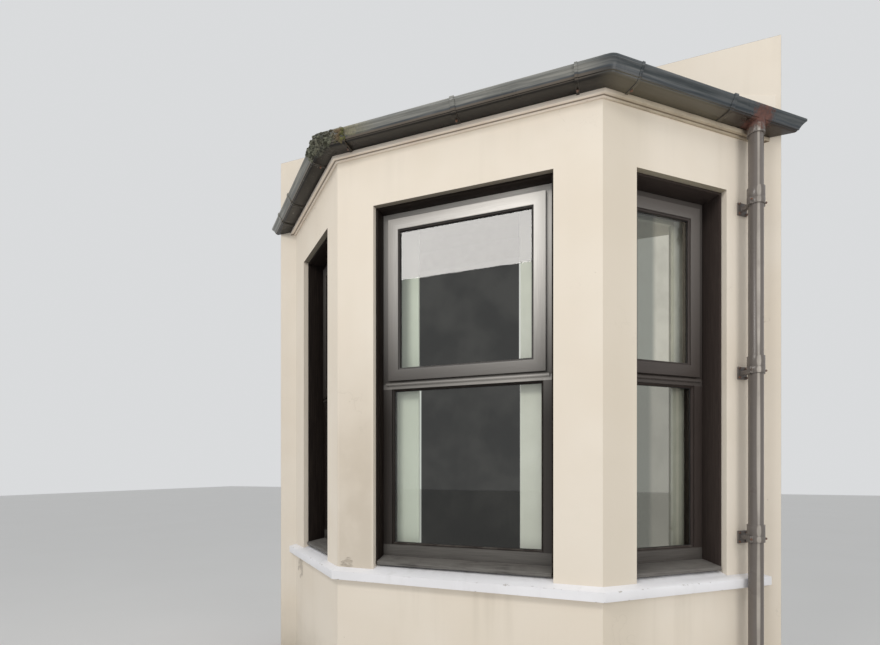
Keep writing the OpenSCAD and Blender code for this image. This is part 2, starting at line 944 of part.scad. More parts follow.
module left_end_pier() {
    color(render_colour) mirror([1, 0, 0]) end_pier();
}

module right_end_pier() {
    color(render_colour) end_pier();
}

module front_lintel() {
    color(render_colour) prism(head_z, wall_head_z) front_strip(0, -bay_wall_t);
}

module left_lintel() {
    color(render_colour) mirror([1, 0, 0]) side_lintel();
}

module right_lintel() {
    color(render_colour) side_lintel();
}

module left_house_jamb() {
    color(render_colour) mirror([1, 0, 0]) house_jamb(left_edge);
}

module right_house_jamb() {
    color(render_colour) house_jamb(right_edge);
}

module opening_beam() {
    color(plaster_colour) beam();
}

module house_wall_over() {
    color(render_colour) wall_over();
}

module sleeper_wall() {
    color(masonry_colour) sleeper();
}

module floor_joists() {
    color(timber_colour) joists();
}

module floor_boards() {
    color(timber_colour) boards();
}

module ceiling() {
    color(plaster_colour) ceiling_slab();
}

module window_boards() {
    color(white_colour) {
        on_front() window_board(front_opening_w, front_set_back);
        on_left_window() window_board(side_opening_w, side_set_back);
        on_right_window() window_board(side_opening_w, side_set_back);
    }
}

module window_linings() {
    color(brown_colour) {
        on_front() lining(front_opening_w, front_set_back);
        on_left_window() lining(side_opening_w, side_set_back);
        on_right_window() lining(side_opening_w, side_set_back);
    }
}

module inner_casings() {
    color(white_colour) {
        on_front() casing(front_opening_w, front_set_back, front_casing_w);
        on_left_window() casing(side_opening_w, side_set_back, side_casing_w);
        on_right_window() casing(side_opening_w, side_set_back, side_casing_w);
    }
}

module front_window_frame() {
    color(brown_colour) on_front() window_frame(front_opening_w, front_set_back);
}

module left_window_frame() {
    color(brown_colour) on_left_window() window_frame(side_opening_w, side_set_back);
}

module right_window_frame() {
    color(brown_colour) on_right_window() window_frame(side_opening_w, side_set_back);
}

module front_sash() {
    color(brown_colour) on_front() sash(front_opening_w, front_set_back);
}

module left_sash() {
    color(brown_colour) on_left_window() sash(side_opening_w, side_set_back);
}

module right_sash() {
    color(brown_colour) on_right_window() sash(side_opening_w, side_set_back);
}

module front_glass() {
    color(glass_colour) on_front() glass(front_opening_w, front_set_back);
}

module left_glass() {
    color(glass_colour) on_left_window() glass(side_opening_w, side_set_back);
}

module right_glass() {
    color(glass_colour) on_right_window() glass(side_opening_w, side_set_back);
}

module eaves_moulding() {
    color(render_colour) moulding();
}

module fascia_boards() {
    color(brown_colour) fascia();
}

module roof_rafters() {
    color(timber_colour) rafters();
}

module front_slates() {
    color(slate_colour) front_slope();
}

module left_slates() {
    color(slate_colour) mirror([1, 0, 0]) right_slope();
}

module right_slates() {
    color(slate_colour) right_slope();
}

module hip_rolls() {
    color(lead_colour) {
        hip_roll();
        mirror([1, 0, 0]) hip_roll();
    }
}

module wall_flashing() {
    color(lead_colour) flashing();
}

module front_gutter() {
    color(iron_colour) intersection() {
        front_of_mitre();
        on_front() run(-far, far) gutter_section();
    }
}

module left_gutter() {
    color(iron_colour) mirror([1, 0, 0]) side_gutter();
}

module right_gutter() {
    color(iron_colour) right_gutter_run();
}

module gutter_corners() {
    color(iron_colour) {
        corner_fitting();
        mirror([1, 0, 0]) corner_fitting();
    }
}

module gutter_straps() {
    color(iron_colour) {
        on_front() translate([front_strap_x, 0, 0]) strap();
        on_left() {
            translate([left_strap_s, 0, 0]) strap();
            translate([left_end_strap_s, 0, 0]) strap();
        }
        on_right() translate([right_strap_s, 0, 0]) strap();
    }
}

module gutter_outlet() {
    color(iron_colour) on_pipe() outlet();
}

module downpipe() {
    color(iron_colour) on_pipe() pipe();
}

module pipe_brackets() {
    color(iron_colour) on_pipe() for (z = bracket_heights) translate([0, 0, z]) pipe_bracket();
}

front_base_wall();
left_base_wall();
right_base_wall();
front_sill();
left_sill();
right_sill();
left_corner_pier();
right_corner_pier();
left_end_pier();
right_end_pier();
front_lintel();
left_lintel();
right_lintel();
left_house_jamb();
right_house_jamb();
opening_beam();
house_wall_over();
sleeper_wall();
floor_joists();
floor_boards();
ceiling();
window_boards();
window_linings();
inner_casings();
front_window_frame();
left_window_frame();
right_window_frame();
front_sash();
left_sash();
right_sash();
front_glass();
left_glass();
right_glass();
eaves_moulding();
fascia_boards();
roof_rafters();
front_slates();
left_slates();
right_slates();
hip_rolls();
wall_flashing();
front_gutter();
left_gutter();
right_gutter();
gutter_corners();
gutter_straps();
gutter_outlet();
downpipe();
pipe_brackets();
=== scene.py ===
"""Finishes of a canted bay window: painted render, timber windows, slated roof and iron gutter."""

import math

import bmesh
import bpy
from mathutils import Matrix, Vector


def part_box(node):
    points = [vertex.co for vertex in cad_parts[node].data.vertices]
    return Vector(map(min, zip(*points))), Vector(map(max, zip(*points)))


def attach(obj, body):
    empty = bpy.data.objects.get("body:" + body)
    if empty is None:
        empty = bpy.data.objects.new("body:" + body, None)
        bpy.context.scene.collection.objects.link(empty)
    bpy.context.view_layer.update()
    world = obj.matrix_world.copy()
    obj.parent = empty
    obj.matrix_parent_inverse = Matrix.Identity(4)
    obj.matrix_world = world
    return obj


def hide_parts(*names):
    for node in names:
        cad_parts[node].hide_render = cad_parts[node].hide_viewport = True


bl_info = {
    "name": "Canted Bay Window",
    "version": (1, 0, 0),
    "blender": (4, 5, 0),
    "location": "View3D > Sidebar > Bay Window",
    "description": "Dresses a canted bay window with render, timber, glass, slate, lead and iron",
    "category": "Object",
}

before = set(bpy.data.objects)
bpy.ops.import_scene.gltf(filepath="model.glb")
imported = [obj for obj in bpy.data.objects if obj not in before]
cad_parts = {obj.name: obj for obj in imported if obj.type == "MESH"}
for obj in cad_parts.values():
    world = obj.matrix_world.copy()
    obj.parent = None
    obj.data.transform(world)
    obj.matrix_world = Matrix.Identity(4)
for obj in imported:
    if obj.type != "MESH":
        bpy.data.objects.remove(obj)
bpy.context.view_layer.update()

# The bay's own sizes, in metres, as in the part's source
HALF_FRONT = 0.7
PROJECTION = 0.639
SPLAY = math.radians(40.5)
HOUSE_WALL = 0.29
BAY_WALL = 0.255
LEFT_STRIP = 0.133
RIGHT_STRIP = 0.099
FRONT_OPENING = 0.956
SIDE_OPENING = 0.565
SIDE_WINDOW_S = 0.4755
FRONT_SET = 0.1
SIDE_SET = 0.14
FRAME_DEPTH = 0.075
FRAME_W = 0.063
FRAME_SILL_Z = 0.866
FRAME_Z = 0.905
TRANSOM_Z = 1.822
TRANSOM_H = 0.058
HEAD_Z = 2.8
SILL_FACE_Z = 0.825
WALL_HEAD_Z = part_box("front_lintel")[1].z
FASCIA_H = 0.09
FASCIA_OUT = 0.03
FASCIA_T = 0.02
EAVES_OUT = 0.05
COVERING = 0.04
PITCH = math.radians(22)
FLOOR_Z = 0.18
PIPE_S = 0.86
PIPE_OUT = 0.08
BRACKET_HEIGHTS = (2.698, 1.858, 1.018, 0.3)
BRACKET_H = 0.032
GUTTER_LIP = -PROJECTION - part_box("front_gutter")[0].y
GUTTER_TOP_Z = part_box("front_gutter")[1].z
ROOM_HALF = 1.1108

# The boards and rubbers of the windows
LINING_T = 0.012
LINING_FACE = 0.03
LINING_ARRIS = 0.0015
CASING_T = 0.02
CASING_HEAD = 0.11
CASING_WIDTHS = {FRONT_OPENING: 0.193, SIDE_OPENING: 0.15}
CASING_ARRIS = 0.003
SILL_BOARD_T = 0.025
SILL_BOARD_NOSE = 0.03
SILL_BOARD_ARRIS = 0.008
SASH_LAP = 0.015
SASH_STEP = 0.02
RUBBER_EDGE = 0.0095
RUBBER_W = 0.003
RUBBER_ARRIS = 0.001
SASH_SIGHT = 0.06
FIXED_PANE = (0.0205, 0.024)
SASH_PANE = (-0.0035, 0.0)

# How far the grain moves on from member to member, and how short it is on their ends
GRAIN_STEP = 0.37
END_GRAIN = 0.02

# Floor boards, slates and battens as they are laid
BOARD_GAP = 0.0012
BOARD_SHIFT = 0.11
BOARD_BOND = 0.43
SLATE_START = 0.012
SLATE_GAP = 0.003
UNDER_SLATE = 0.2
BATTEN_REACH = 1.8

# The feet of the hip rolls: how far up and by which share they are dressed down
DRESS_REACH = 0.1
DRESS_SHARE = 0.85

# Bolts: on the ears and the feet of the pipe brackets, and under the gutter
EAR_BOLT = (0.0493, -0.0135)
FOOT_BOLT = (0.024, PIPE_OUT - 0.0085)
FOOT_BOLT_RISE = 0.024
STRAP_BOLT = 0.106
UNDER_BOLT = (-0.065, WALL_HEAD_Z - 0.0115)
MIDDLE_BOLT = (0.017, 0.005)

# Moss in the left end of the front gutter: its level, and its plan as x and distance out
MOSS_Z = WALL_HEAD_Z + 0.012
MOSS_BED = ((-0.73, 0.092), (-0.2, 0.092), (-0.2, 0.045), (-0.71, 0.045))

# The stage: where it reaches, its two soft lamps and the camera
STAGE_REACH = 30.0
KEY_PLACE, KEY_TARGET, KEY_SIZE = (-1.35, -4.5, 4.66), (0.1, -0.6, 1.9), (2.1, 1.15)
KEY_ROLL = math.radians(7.8)
SIDE_PLACE, SIDE_TARGET, SIDE_SIZE = (3.3, -2.7, 2.6), (1.35, -0.15, 1.9), (1.4, 2.6)
LAMP_TINT = (1.0, 0.97, 0.93)
SKY_TINT = (0.97, 0.985, 1.0)
CAMERA_PLACE = (0.816, -3.059, 1.38)
CAMERA_TURN = math.radians(20.6)
CAMERA_LENS = 20.66
CAMERA_SHIFT = 0.167

# How meshes are cleaned, cut and shaded
MERGE = 0.00001
CUT = 0.000001
FLAT = math.radians(0.5)
SHARP = math.radians(32)
ARRIS = math.radians(33)


def corner(out):
    """Plan point of the right corner at a distance out from the wall faces."""
    return Vector((HALF_FRONT + out * math.tan(SPLAY / 2), -PROJECTION - out))


def at_wall(out, y=0.0):
    """Plan point where the right side, moved out, reaches the line y."""
    c = corner(out)
    return Vector((c.x + (y - c.y) / math.tan(SPLAY), y))


def along(s, out):
    """Plan point at a distance s along the right side and out from its face."""
    return Vector((
        HALF_FRONT + s * math.cos(SPLAY) + out * math.sin(SPLAY),
        -PROJECTION + s * math.sin(SPLAY) - out * math.cos(SPLAY),
    ))


LEFT_EDGE = -at_wall(0).x - LEFT_STRIP
RIGHT_EDGE = at_wall(0).x + RIGHT_STRIP
TOP_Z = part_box("house_wall_over")[1].z

ON_FRONT = Matrix.Translation((0, -PROJECTION, 0))
ON_RIGHT = Matrix.Translation((HALF_FRONT, -PROJECTION, 0)) @ Matrix.Rotation(SPLAY, 4, "Z")
MIRROR = Matrix.Scale(-1, 4, (1, 0, 0))
ON_RIGHT_WINDOW = ON_RIGHT @ Matrix.Translation((SIDE_WINDOW_S, 0, 0))
BASES = {"front": ON_FRONT, "right": ON_RIGHT, "left": MIRROR @ ON_RIGHT}
SIDES = {
    "front": (ON_FRONT, FRONT_OPENING, FRONT_SET),
    "right": (ON_RIGHT_WINDOW, SIDE_OPENING, SIDE_SET),
    "left": (MIRROR @ ON_RIGHT_WINDOW, SIDE_OPENING, SIDE_SET),
}


# Materials


class Field:
    """What one socket gives, with plain arithmetic on it."""

    def __init__(self, web, socket):
        self.web = web
        self.socket = socket

    def __add__(self, other):
        return self.web.math("ADD", self, other)

    def __sub__(self, other):
        return self.web.math("SUBTRACT", self, other)

    def __rsub__(self, other):
        return self.web.math("SUBTRACT", other, self)

    def __mul__(self, other):
        return self.web.math("MULTIPLY", self, other)

    def __truediv__(self, other):
        return self.web.math("DIVIDE", self, other)

    def __mod__(self, other):
        return self.web.math("MODULO", self, other)

    def __gt__(self, limit):
        return self.web.math("GREATER_THAN", self, limit)

    def __le__(self, limit):
        return 1.0 - (self > limit)

    def __neg__(self):
        return self * -1.0

    def __abs__(self):
        return self.web.math("ABSOLUTE", self)

    def band(self, low, high, to_low=0.0, to_high=1.0):
        """Smooth step from one value to another between two limits."""
        inputs = {0: self, 1: low, 2: high, 3: to_low, 4: to_high}
        return self.web.field("MapRange", inputs, interpolation_type="SMOOTHSTEP")

    def fade(self, low, high):
        """Smooth step down from 1 to 0 between two limits."""
        return self.band(low, high, 1.0, 0.0)


class Web:
    """A node tree, built by short calls."""

    def __init__(self, tree):
        self.tree = tree

    def node(self, kind, inputs=None, **settings):
        """New node; a kind without Node in its name is a shader node."""
        made = self.tree.nodes.new(kind if "Node" in kind else "ShaderNode" + kind)
        for key, value in settings.items():
            setattr(made, key, value)
        for key, value in (inputs or {}).items():
            socket = made.inputs[key]
            if isinstance(value, Field):
                self.tree.links.new(value.socket, socket)
            else:
                socket.default_value = (*value, 1) if socket.type == "RGBA" else value
        return made

    def field(self, kind, inputs=None, output=0, **settings):
        """One output of a new node."""
        return Field(self, self.node(kind, inputs, **settings).outputs[output])

    def math(self, operation, a, b=0.0):
        return self.field("Math", {0: a, 1: b}, operation=operation)

    def vectors(self, operation, a, b, output=0):
        return self.field("VectorMath", {0: a, 1: b}, output, operation=operation)

    def least(self, a, b):
        return self.math("MINIMUM", a, b)

    def most(self, first, *others):
        for other in others:
            first = self.math("MAXIMUM", first, other)
        return first

    def rays(self, *kinds):
        """1 for light paths of these kinds."""
        path = self.node("LightPath").outputs
        return self.most(*(Field(self, path["Is %s Ray" % kind]) for kind in kinds))


class Finish(Web):
    """A material's node tree: one colour coated over and over, its bumps and its gloss."""

    def __init__(self, name):
        self.material = bpy.data.materials.new(name)
        self.material.use_nodes = True
        super().__init__(self.material.node_tree)
        self.tree.nodes.clear()
        self.place = self.field("TexCoord", output="Object")
        parts = self.node("SeparateXYZ", {0: self.place}).outputs
        self.x, self.y, self.z = (Field(self, part) for part in parts)
        self.colour = None
        self.bumps = None

    def scaled(self, factors, vector=None):
        """Object coordinates stretched along the axes."""
        return self.vectors("MULTIPLY", vector or self.place, factors)

    def noise(self, scale, detail=3.0, rough=0.55, vector=None, distort=0.0):
        return self.field("TexNoise", {
            "Vector": vector or self.place, "Scale": scale, "Detail": detail,
            "Roughness": rough, "Distortion": distort,
        })

    def streaks(self, factors, detail, rough, vector=None, distort=0.0):
        """Noise with its own scale along each axis."""
        return self.noise(1.0, detail, rough, self.scaled(factors, vector), distort)

    def cells(self, scale, vector=None, feature="F1"):
        inputs = {"Vector": vector or self.place, "Scale": scale}
        return self.field("TexVoronoi", inputs, "Distance", feature=feature)

    def mix(self, factor, a, b):
        return self.field("Mix", {0: factor, 6: a, 7: b}, 2, data_type="RGBA")

    def coat(self, mask, colour):
        """Lay a colour over the finish where the mask is 1."""
        self.colour = self.mix(mask, self.colour, colour)

    def near(self, point, radius, soft):
        """1 round a point, fading to 0."""
        return self.vectors("DISTANCE", self.place, point, "Value").fade(radius - soft, radius + soft)

    def normal(self):
        return self.field("NewGeometry", output="Normal")

    def slant(self):
        """How far the surface faces up, from -1 to 1."""
        return self.field("SeparateXYZ", {0: self.normal()}, 2)

    def grain(self):
        """The piece's own coordinates: u along the grain, v across it, in metres."""
        return self.field("UVMap", uv_map="grain")

    def tone(self):
        """Tone of the single slate or board."""
        return self.field("Attribute", output="Fac", attribute_name="tone")

    def bump(self, height, distance, strength=1.0):
        inputs = {"Height": height, "Distance": distance, "Strength": strength}
        if self.bumps is not None:
            inputs["Normal"] = self.bumps
        self.bumps = self.field("Bump", inputs)

    def close(self, roughness, **sockets):
        inputs = {"Base Color": self.colour, "Roughness": roughness}
        inputs.update({key.replace("_", " "): value for key, value in sockets.items()})
        if self.bumps is not None:
            inputs["Normal"] = self.bumps
        return self.surface(self.field("BsdfPrincipled", inputs))

    def surface(self, shader):
        self.node("OutputMaterial", {"Surface": shader})
        return self.material


def wall_depth(s):
    """Signed distance out from the bay's and the house's wall faces, from object coordinates."""
    behind = s.y + PROJECTION
    side = (abs(s.x) - HALF_FRONT) * math.sin(SPLAY) - behind * math.cos(SPLAY)
    return s.least(s.most(-behind, side), -s.y)


def brick_pattern(s, u, v, width, row):
    """Colour and joint mask of brickwork on two coordinates."""
    laid = s.node("TexBrick", {
        "Vector": s.field("CombineXYZ", {0: u, 1: v}), "Color1": (0.33, 0.1, 0.045),
        "Color2": (0.47, 0.17, 0.075), "Mortar": (0.46, 0.42, 0.36), "Scale": 1.0, "Mortar Size": 0.005,
        "Mortar Smooth": 0.2, "Bias": 0.0, "Brick Width": width, "Row Height": row,
    }).outputs
    speck = s.noise(90.0, 4.0, 0.7).band(0.5, 0.75)
    return s.mix(speck, Field(s, laid["Color"]), (0.2, 0.09, 0.06)), Field(s, laid["Fac"])


def coat_foot(s, patch):
    """Rain streaks, splashes from the ground and moss on the render."""
    drip = s.streaks((9.0, 9.0, 0.7), 3.0, 0.5)
    under_eaves = s.z.band(2.6, 3.07)
    below_sill = s.z.band(0.3, 0.76) * (s.z <= 0.79)
    streaks = drip.band(0.5, 0.75) * (under_eaves * 0.35 + below_sill * 0.8 + 0.1)
    s.coat(streaks * 0.2, (0.42, 0.36, 0.26))

    ground = (s.z + patch * 0.3).fade(0.12, 0.62)
    s.coat(ground * 0.42, (0.34, 0.29, 0.21))
    moss = (s.z + s.noise(14.0, 5.0, 0.7) * 0.2).fade(0.1, 0.24)
    moss = moss * s.noise(5.0, 4.0).band(0.45, 0.6)
    s.coat(moss * 0.5, (0.12, 0.15, 0.06))


def coat_flakes(s):
    """Spots where paint has come off the render. Gives their mask."""
    dots = s.cells(24.0, s.scaled((1.0, 1.0, 0.7))).fade(0.045, 0.075)
    dots = dots * s.noise(3.1, 3.0).band(0.62, 0.66)
    flakes = s.noise(15.0, 6.0, 0.72, distort=0.8).band(0.715, 0.73)
    foot = s.near((-0.64, -0.645, 0.855), 0.075, 0.05)
    foot = (foot + s.streaks((16.0, 16.0, 120.0), 6.0, 0.75) * 0.9).band(1.42, 1.46)
    root = s.near((-1.33, -0.07, 0.7), 0.12, 0.06)
    root = (root + s.noise(22.0, 6.0, 0.7) * 0.9).band(1.38, 1.46)
    damage = s.most(dots, flakes, foot, root)
    under_paint = s.mix(s.noise(120.0, 3.0), (0.42, 0.37, 0.31), (0.62, 0.55, 0.47))
    s.coat(damage * 0.85, under_paint)
    return damage


def coat_cracks(s):
    """Hairline cracks in the render. Gives their mask."""
    wobble = s.field("TexNoise", {"Vector": s.place, "Scale": 5.0, "Detail": 5.0}, "Color")
    crack = s.cells(1.35, s.vectors("ADD", s.place, wobble), "DISTANCE_TO_EDGE").fade(0.0012, 0.0035)
    crack = crack * s.noise(1.1, 2.0).band(0.56, 0.66)
    s.coat(crack * 0.25, (0.3, 0.26, 0.2))
    return crack


def coat_shade_and_heads(s, patch):
    """Painted shade on the left pier and beside the right corner, and dark brown on the downward faces
    at the window heads.
    """
    # Painted shade: the left pier darker from the sill upward, fading out by about two metres.
    left_pier = s.x.band(-0.72, -0.68) * s.x.fade(-0.5, -0.46)
    pier_shade = left_pier * s.z.fade(1.15, 2.25) * patch.band(0.2, 0.6, 0.6, 1.0)
    pier_shade = pier_shade * (s.z > SILL_FACE_Z)
    s.coat(pier_shade * 0.55, (0.5, 0.43, 0.34))
    # Painted shade: the right side darker next to its corner, fading out towards the window.
    beside = (s.x > HALF_FRONT + 0.001) * s.x.fade(0.78, 1.0)
    s.coat(beside * 0.45, (0.62, 0.55, 0.44))
    # Dark brown on the downward faces at the window heads, less dark at the right window.
    at_head = (s.z > HEAD_Z - 0.01) * (s.z <= HEAD_Z + 0.01)
    head = (s.slant() <= -0.5) * at_head
    s.coat(head * 0.8, s.mix(s.x.band(0.6, 0.8), (0.07, 0.055, 0.035), (0.3, 0.26, 0.18)))


def coat_cuts(s, depth):
    """Brickwork between its two skins where the slice of house wall is cut. Gives its joints."""
    bricks, joint = brick_pattern(s, s.y, s.z, 0.225, 0.075)
    plan_bricks, plan_joint = brick_pattern(s, s.x, s.y, 0.225, 0.1125)
    on_top = s.z > TOP_Z - 0.0006
    cut = s.mix(on_top, bricks, plan_bricks)
    skin = s.most(depth > -0.018, s.y > HOUSE_WALL - 0.013)
    layer = s.mix(depth > -0.1, (0.7, 0.69, 0.65), (0.44, 0.41, 0.36))
    layer = s.mix(s.noise(160.0, 3.0, 0.7).band(0.45, 0.7), layer, (0.28, 0.26, 0.22))
    cut = s.mix(skin, cut, layer)
    at_cut = s.most(s.x > RIGHT_EDGE - 0.0006, s.x <= LEFT_EDGE + 0.0006, on_top)
    s.coat(at_cut, cut)
    return s.mix(on_top, joint, plan_joint) * at_cut


def render_finish():
    """Painted cement render outside, plaster inside and cut brickwork on the slice's ends."""
    s = Finish("painted_render")
    depth = wall_depth(s)
    outside = s.most(depth > -0.1, (s.z > WALL_HEAD_Z + 0.01) * (s.y <= 0.02))

    cloud = s.noise(1.3, 3.0, 0.5, distort=0.4)
    patch = s.noise(5.0, 4.0, 0.55)
    s.colour = s.mix(cloud.band(0.3, 0.7), colours().render, colours().render_worn)
    s.coat(patch.band(0.5, 0.8, 0.0, 0.3), (0.8, 0.735, 0.62))
    coat_foot(s, patch)
    damage = coat_flakes(s)
    crack = coat_cracks(s)
    coat_shade_and_heads(s, patch)

    plaster = s.mix(s.noise(2.4, 4.0).band(0.35, 0.7), (0.76, 0.75, 0.71), (0.7, 0.69, 0.645))
    s.colour = s.mix(outside, plaster, s.colour)
    joints = coat_cuts(s, depth)

    s.bump(s.noise(3.2, 4.0, 0.5), 0.006, 0.35)
    s.bump(s.noise(210.0, 4.0, 0.75), 0.0009, 0.55)
    s.bump(1.0 - damage, 0.0016, 0.8)
    s.bump(1.0 - crack, 0.001, 0.6)
    s.bump(-joints, 0.004, 0.7)
    rough = outside * 0.12 + patch.band(0.3, 0.7, 0.68, 0.8)
    return s.close(rough, Specular_IOR_Level=0.3)


def moulding_finish():
    """Painted eaves moulding, dirty where water runs off the gutter, with a painted shadow line on its
    undersides near the wall.
    """
    s = Finish("painted_moulding")
    s.colour = s.mix(s.noise(3.0, 4.0).band(0.35, 0.7), (0.88, 0.79, 0.69), (0.8, 0.69, 0.59))
    grime = s.noise(9.0, 6.0, 0.7, s.scaled((1.0, 1.0, 2.6)))
    right = s.x.band(0.66, 0.8)
    s.coat(right * 0.72, s.mix(grime.band(0.4, 0.65), (0.4, 0.34, 0.23), (0.25, 0.2, 0.125)))
    dirt = grime.band(0.6, 0.85)
    s.coat(dirt * 0.5, (0.27, 0.22, 0.13))
    # Painted shadow: dark brown on the downward faces near the wall.
    underside_shade = s.slant().fade(-0.7, -0.3) * (s.z > WALL_HEAD_Z - 0.026)
    underside_shade = underside_shade * wall_depth(s).fade(0.016, 0.022)
    s.coat(underside_shade * 0.8, (0.13, 0.09, 0.055))
    chip = s.noise(26.0, 6.0, 0.75).band(0.69, 0.71)
    s.coat(chip * 0.6, (0.4, 0.36, 0.3))
    s.bump(s.noise(150.0, 4.0, 0.7), 0.001, 0.5)
    s.bump(1.0 - chip, 0.0015, 0.8)
    return s.close(0.85, Specular_IOR_Level=0.3)


def stone_finish():
    """White masonry paint on the sill stones, worn through along the nosing."""
    s = Finish("painted_sill_stone")
    s.colour = s.mix(s.noise(2.2, 4.0).band(0.3, 0.7), colours().sill, (0.84, 0.835, 0.855))
    top_edge = abs(s.z - SILL_FACE_Z).fade(0.0, 0.01)
    low_edge = (s.z - 0.78).fade(0.0, 0.01)
    edge = s.most(top_edge, low_edge) * (wall_depth(s) > 0.028)
    wear = (edge * 0.14 + s.noise(30.0, 6.0, 0.72)).band(0.72, 0.76)
    stone = s.mix(s.noise(80.0, 4.0), (0.36, 0.33, 0.29), (0.54, 0.5, 0.45))
    s.coat(wear * 0.7, stone)
    run = s.streaks((14.0, 14.0, 3.0), 4.0, 0.6)
    grime = run.band(0.52, 0.78) * s.z.band(0.8, 0.85, 0.4, 0.7)
    s.coat(grime * 0.25, (0.4, 0.39, 0.36))
    seat = s.z.band(0.838, 0.868)
    s.coat(seat * s.noise(18.0, 5.0).band(0.45, 0.7) * 0.4, (0.28, 0.27, 0.24))
    s.bump(1.0 - wear, 0.0012, 0.8)
    s.bump(s.noise(190.0, 4.0, 0.7), 0.0007, 0.5)
    return s.close(run.band(0.3, 0.7, 0.55, 0.75), Specular_IOR_Level=0.4)


def brown_finish(name, sheen=0.0, face=0.0, grey=0.0, gloss=0.22):
    """Dark brown coat over grain along each member, with a pale painted sheen on the weather side: a
    painted highlight of the sky's reflection.
    """
    s = Finish(name)
    grain = s.grain()
    fine = s.streaks((5.0, 210.0, 1.0), 5.0, 0.65, grain, 0.3)
    broad = s.streaks((1.6, 34.0, 1.0), 4.0, 0.6, grain, 0.8)
    s.colour = s.mix(fine.band(0.35, 0.7), colours().brown, colours().brown_light)
    s.coat(broad.band(0.45, 0.75, 0.0, 0.5), (0.016, 0.012, 0.01))
    # Painted light: a lighter, browner coat on the right side, seen lit where the front lies in shade.
    s.coat(s.x.band(0.62, 0.8, 0.0, 0.6), s.mix(fine, (0.04, 0.031, 0.028), (0.1, 0.078, 0.07)))
    upward = s.slant().band(0.12, 0.6)
    dust = upward * s.noise(12.0, 5.0, 0.7).band(0.3, 0.65)
    s.coat(dust * 0.55, (0.14, 0.125, 0.112))
    if grey:
        bare_and_sheen = (fine + s.noise(7.0, 4.0) * 0.5).band(0.45, 0.85)
        s.coat(bare_and_sheen * grey, (0.2, 0.19, 0.175))
    if sheen:
        low_rail = s.z.fade(FRAME_Z + FRAME_W - 0.004, FRAME_Z + FRAME_W)
        s.coat(low_rail * fine.band(0.25, 0.75, 0.35, 0.75), (0.15, 0.142, 0.13))
        # Painted sheen: a pale painted highlight on the member's face, stronger higher up, on the
        # weather bar and towards the right.
        bar = (s.z > TRANSOM_Z) * (s.z <= TRANSOM_Z + TRANSOM_H / 2)
        height = s.most(s.z.band(1.6, 2.65, 0.05, 1.0), bar * 0.55)
        right = s.x.band(-0.45, 0.45, 0.6, 1.3)
        on_face = wall_depth(s).band(-face - 0.006, -face - 0.0025)
        painted_sheen = height * right * on_face * fine.band(0.25, 0.7, 1.0, 0.8)
        s.coat(s.least(painted_sheen * sheen, 1.0), (0.86, 0.825, 0.775))
    scuff = s.noise(60.0, 6.0, 0.75).band(0.68, 0.7) * s.noise(4.0, 3.0).band(0.5, 0.6)
    s.coat(scuff * 0.5, (0.17, 0.13, 0.1))
    s.bump(fine, 0.0004, 0.55)
    s.bump(s.noise(26.0, 3.0), 0.0012, 0.12)
    rough = fine.band(0.3, 0.8, 0.3, 0.42) + dust * 0.22 + 0.3 * grey
    return s.close(rough, Specular_IOR_Level=gloss, Coat_Weight=0.4 * gloss, Coat_Roughness=0.22)


def white_paint_finish():
    """Satin white paint on joinery, with brush marks along the grain."""
    s = Finish("white_joinery_paint")
    brush = s.streaks((6.0, 160.0, 1.0), 4.0, 0.6, s.grain())
    s.colour = s.mix(s.noise(3.0, 4.0).band(0.35, 0.7), (0.82, 0.82, 0.79), (0.75, 0.75, 0.71))
    nick = s.noise(45.0, 6.0, 0.75).band(0.7, 0.72)
    s.coat(nick * 0.6, (0.45, 0.4, 0.33))
    s.bump(brush, 0.0003, 0.5)
    return s.close(brush.band(0.3, 0.7, 0.35, 0.48), Specular_IOR_Level=0.5)


def plaster_finish():
    """Matt emulsion on plaster, slightly uneven."""
    s = Finish("room_plaster")
    s.colour = s.mix(s.noise(2.0, 4.0).band(0.35, 0.7), (0.78, 0.77, 0.73), (0.7, 0.69, 0.65))
    s.bump(s.noise(6.0, 4.0), 0.003, 0.3)
    s.bump(s.noise(120.0, 3.0), 0.0005, 0.4)
    return s.close(s.noise(11.0).band(0.3, 0.7, 0.75, 0.88), Specular_IOR_Level=0.3)


def gasket_finish():
    """Dull black glazing rubber."""
    s = Finish("glazing_rubber")
    s.colour = s.mix(s.noise(70.0, 4.0), (0.012, 0.012, 0.013), (0.035, 0.034, 0.033))
    s.bump(s.noise(160.0, 3.0), 0.0003, 0.4)
    return s.close(s.noise(40.0).band(0.3, 0.7, 0.5, 0.7))


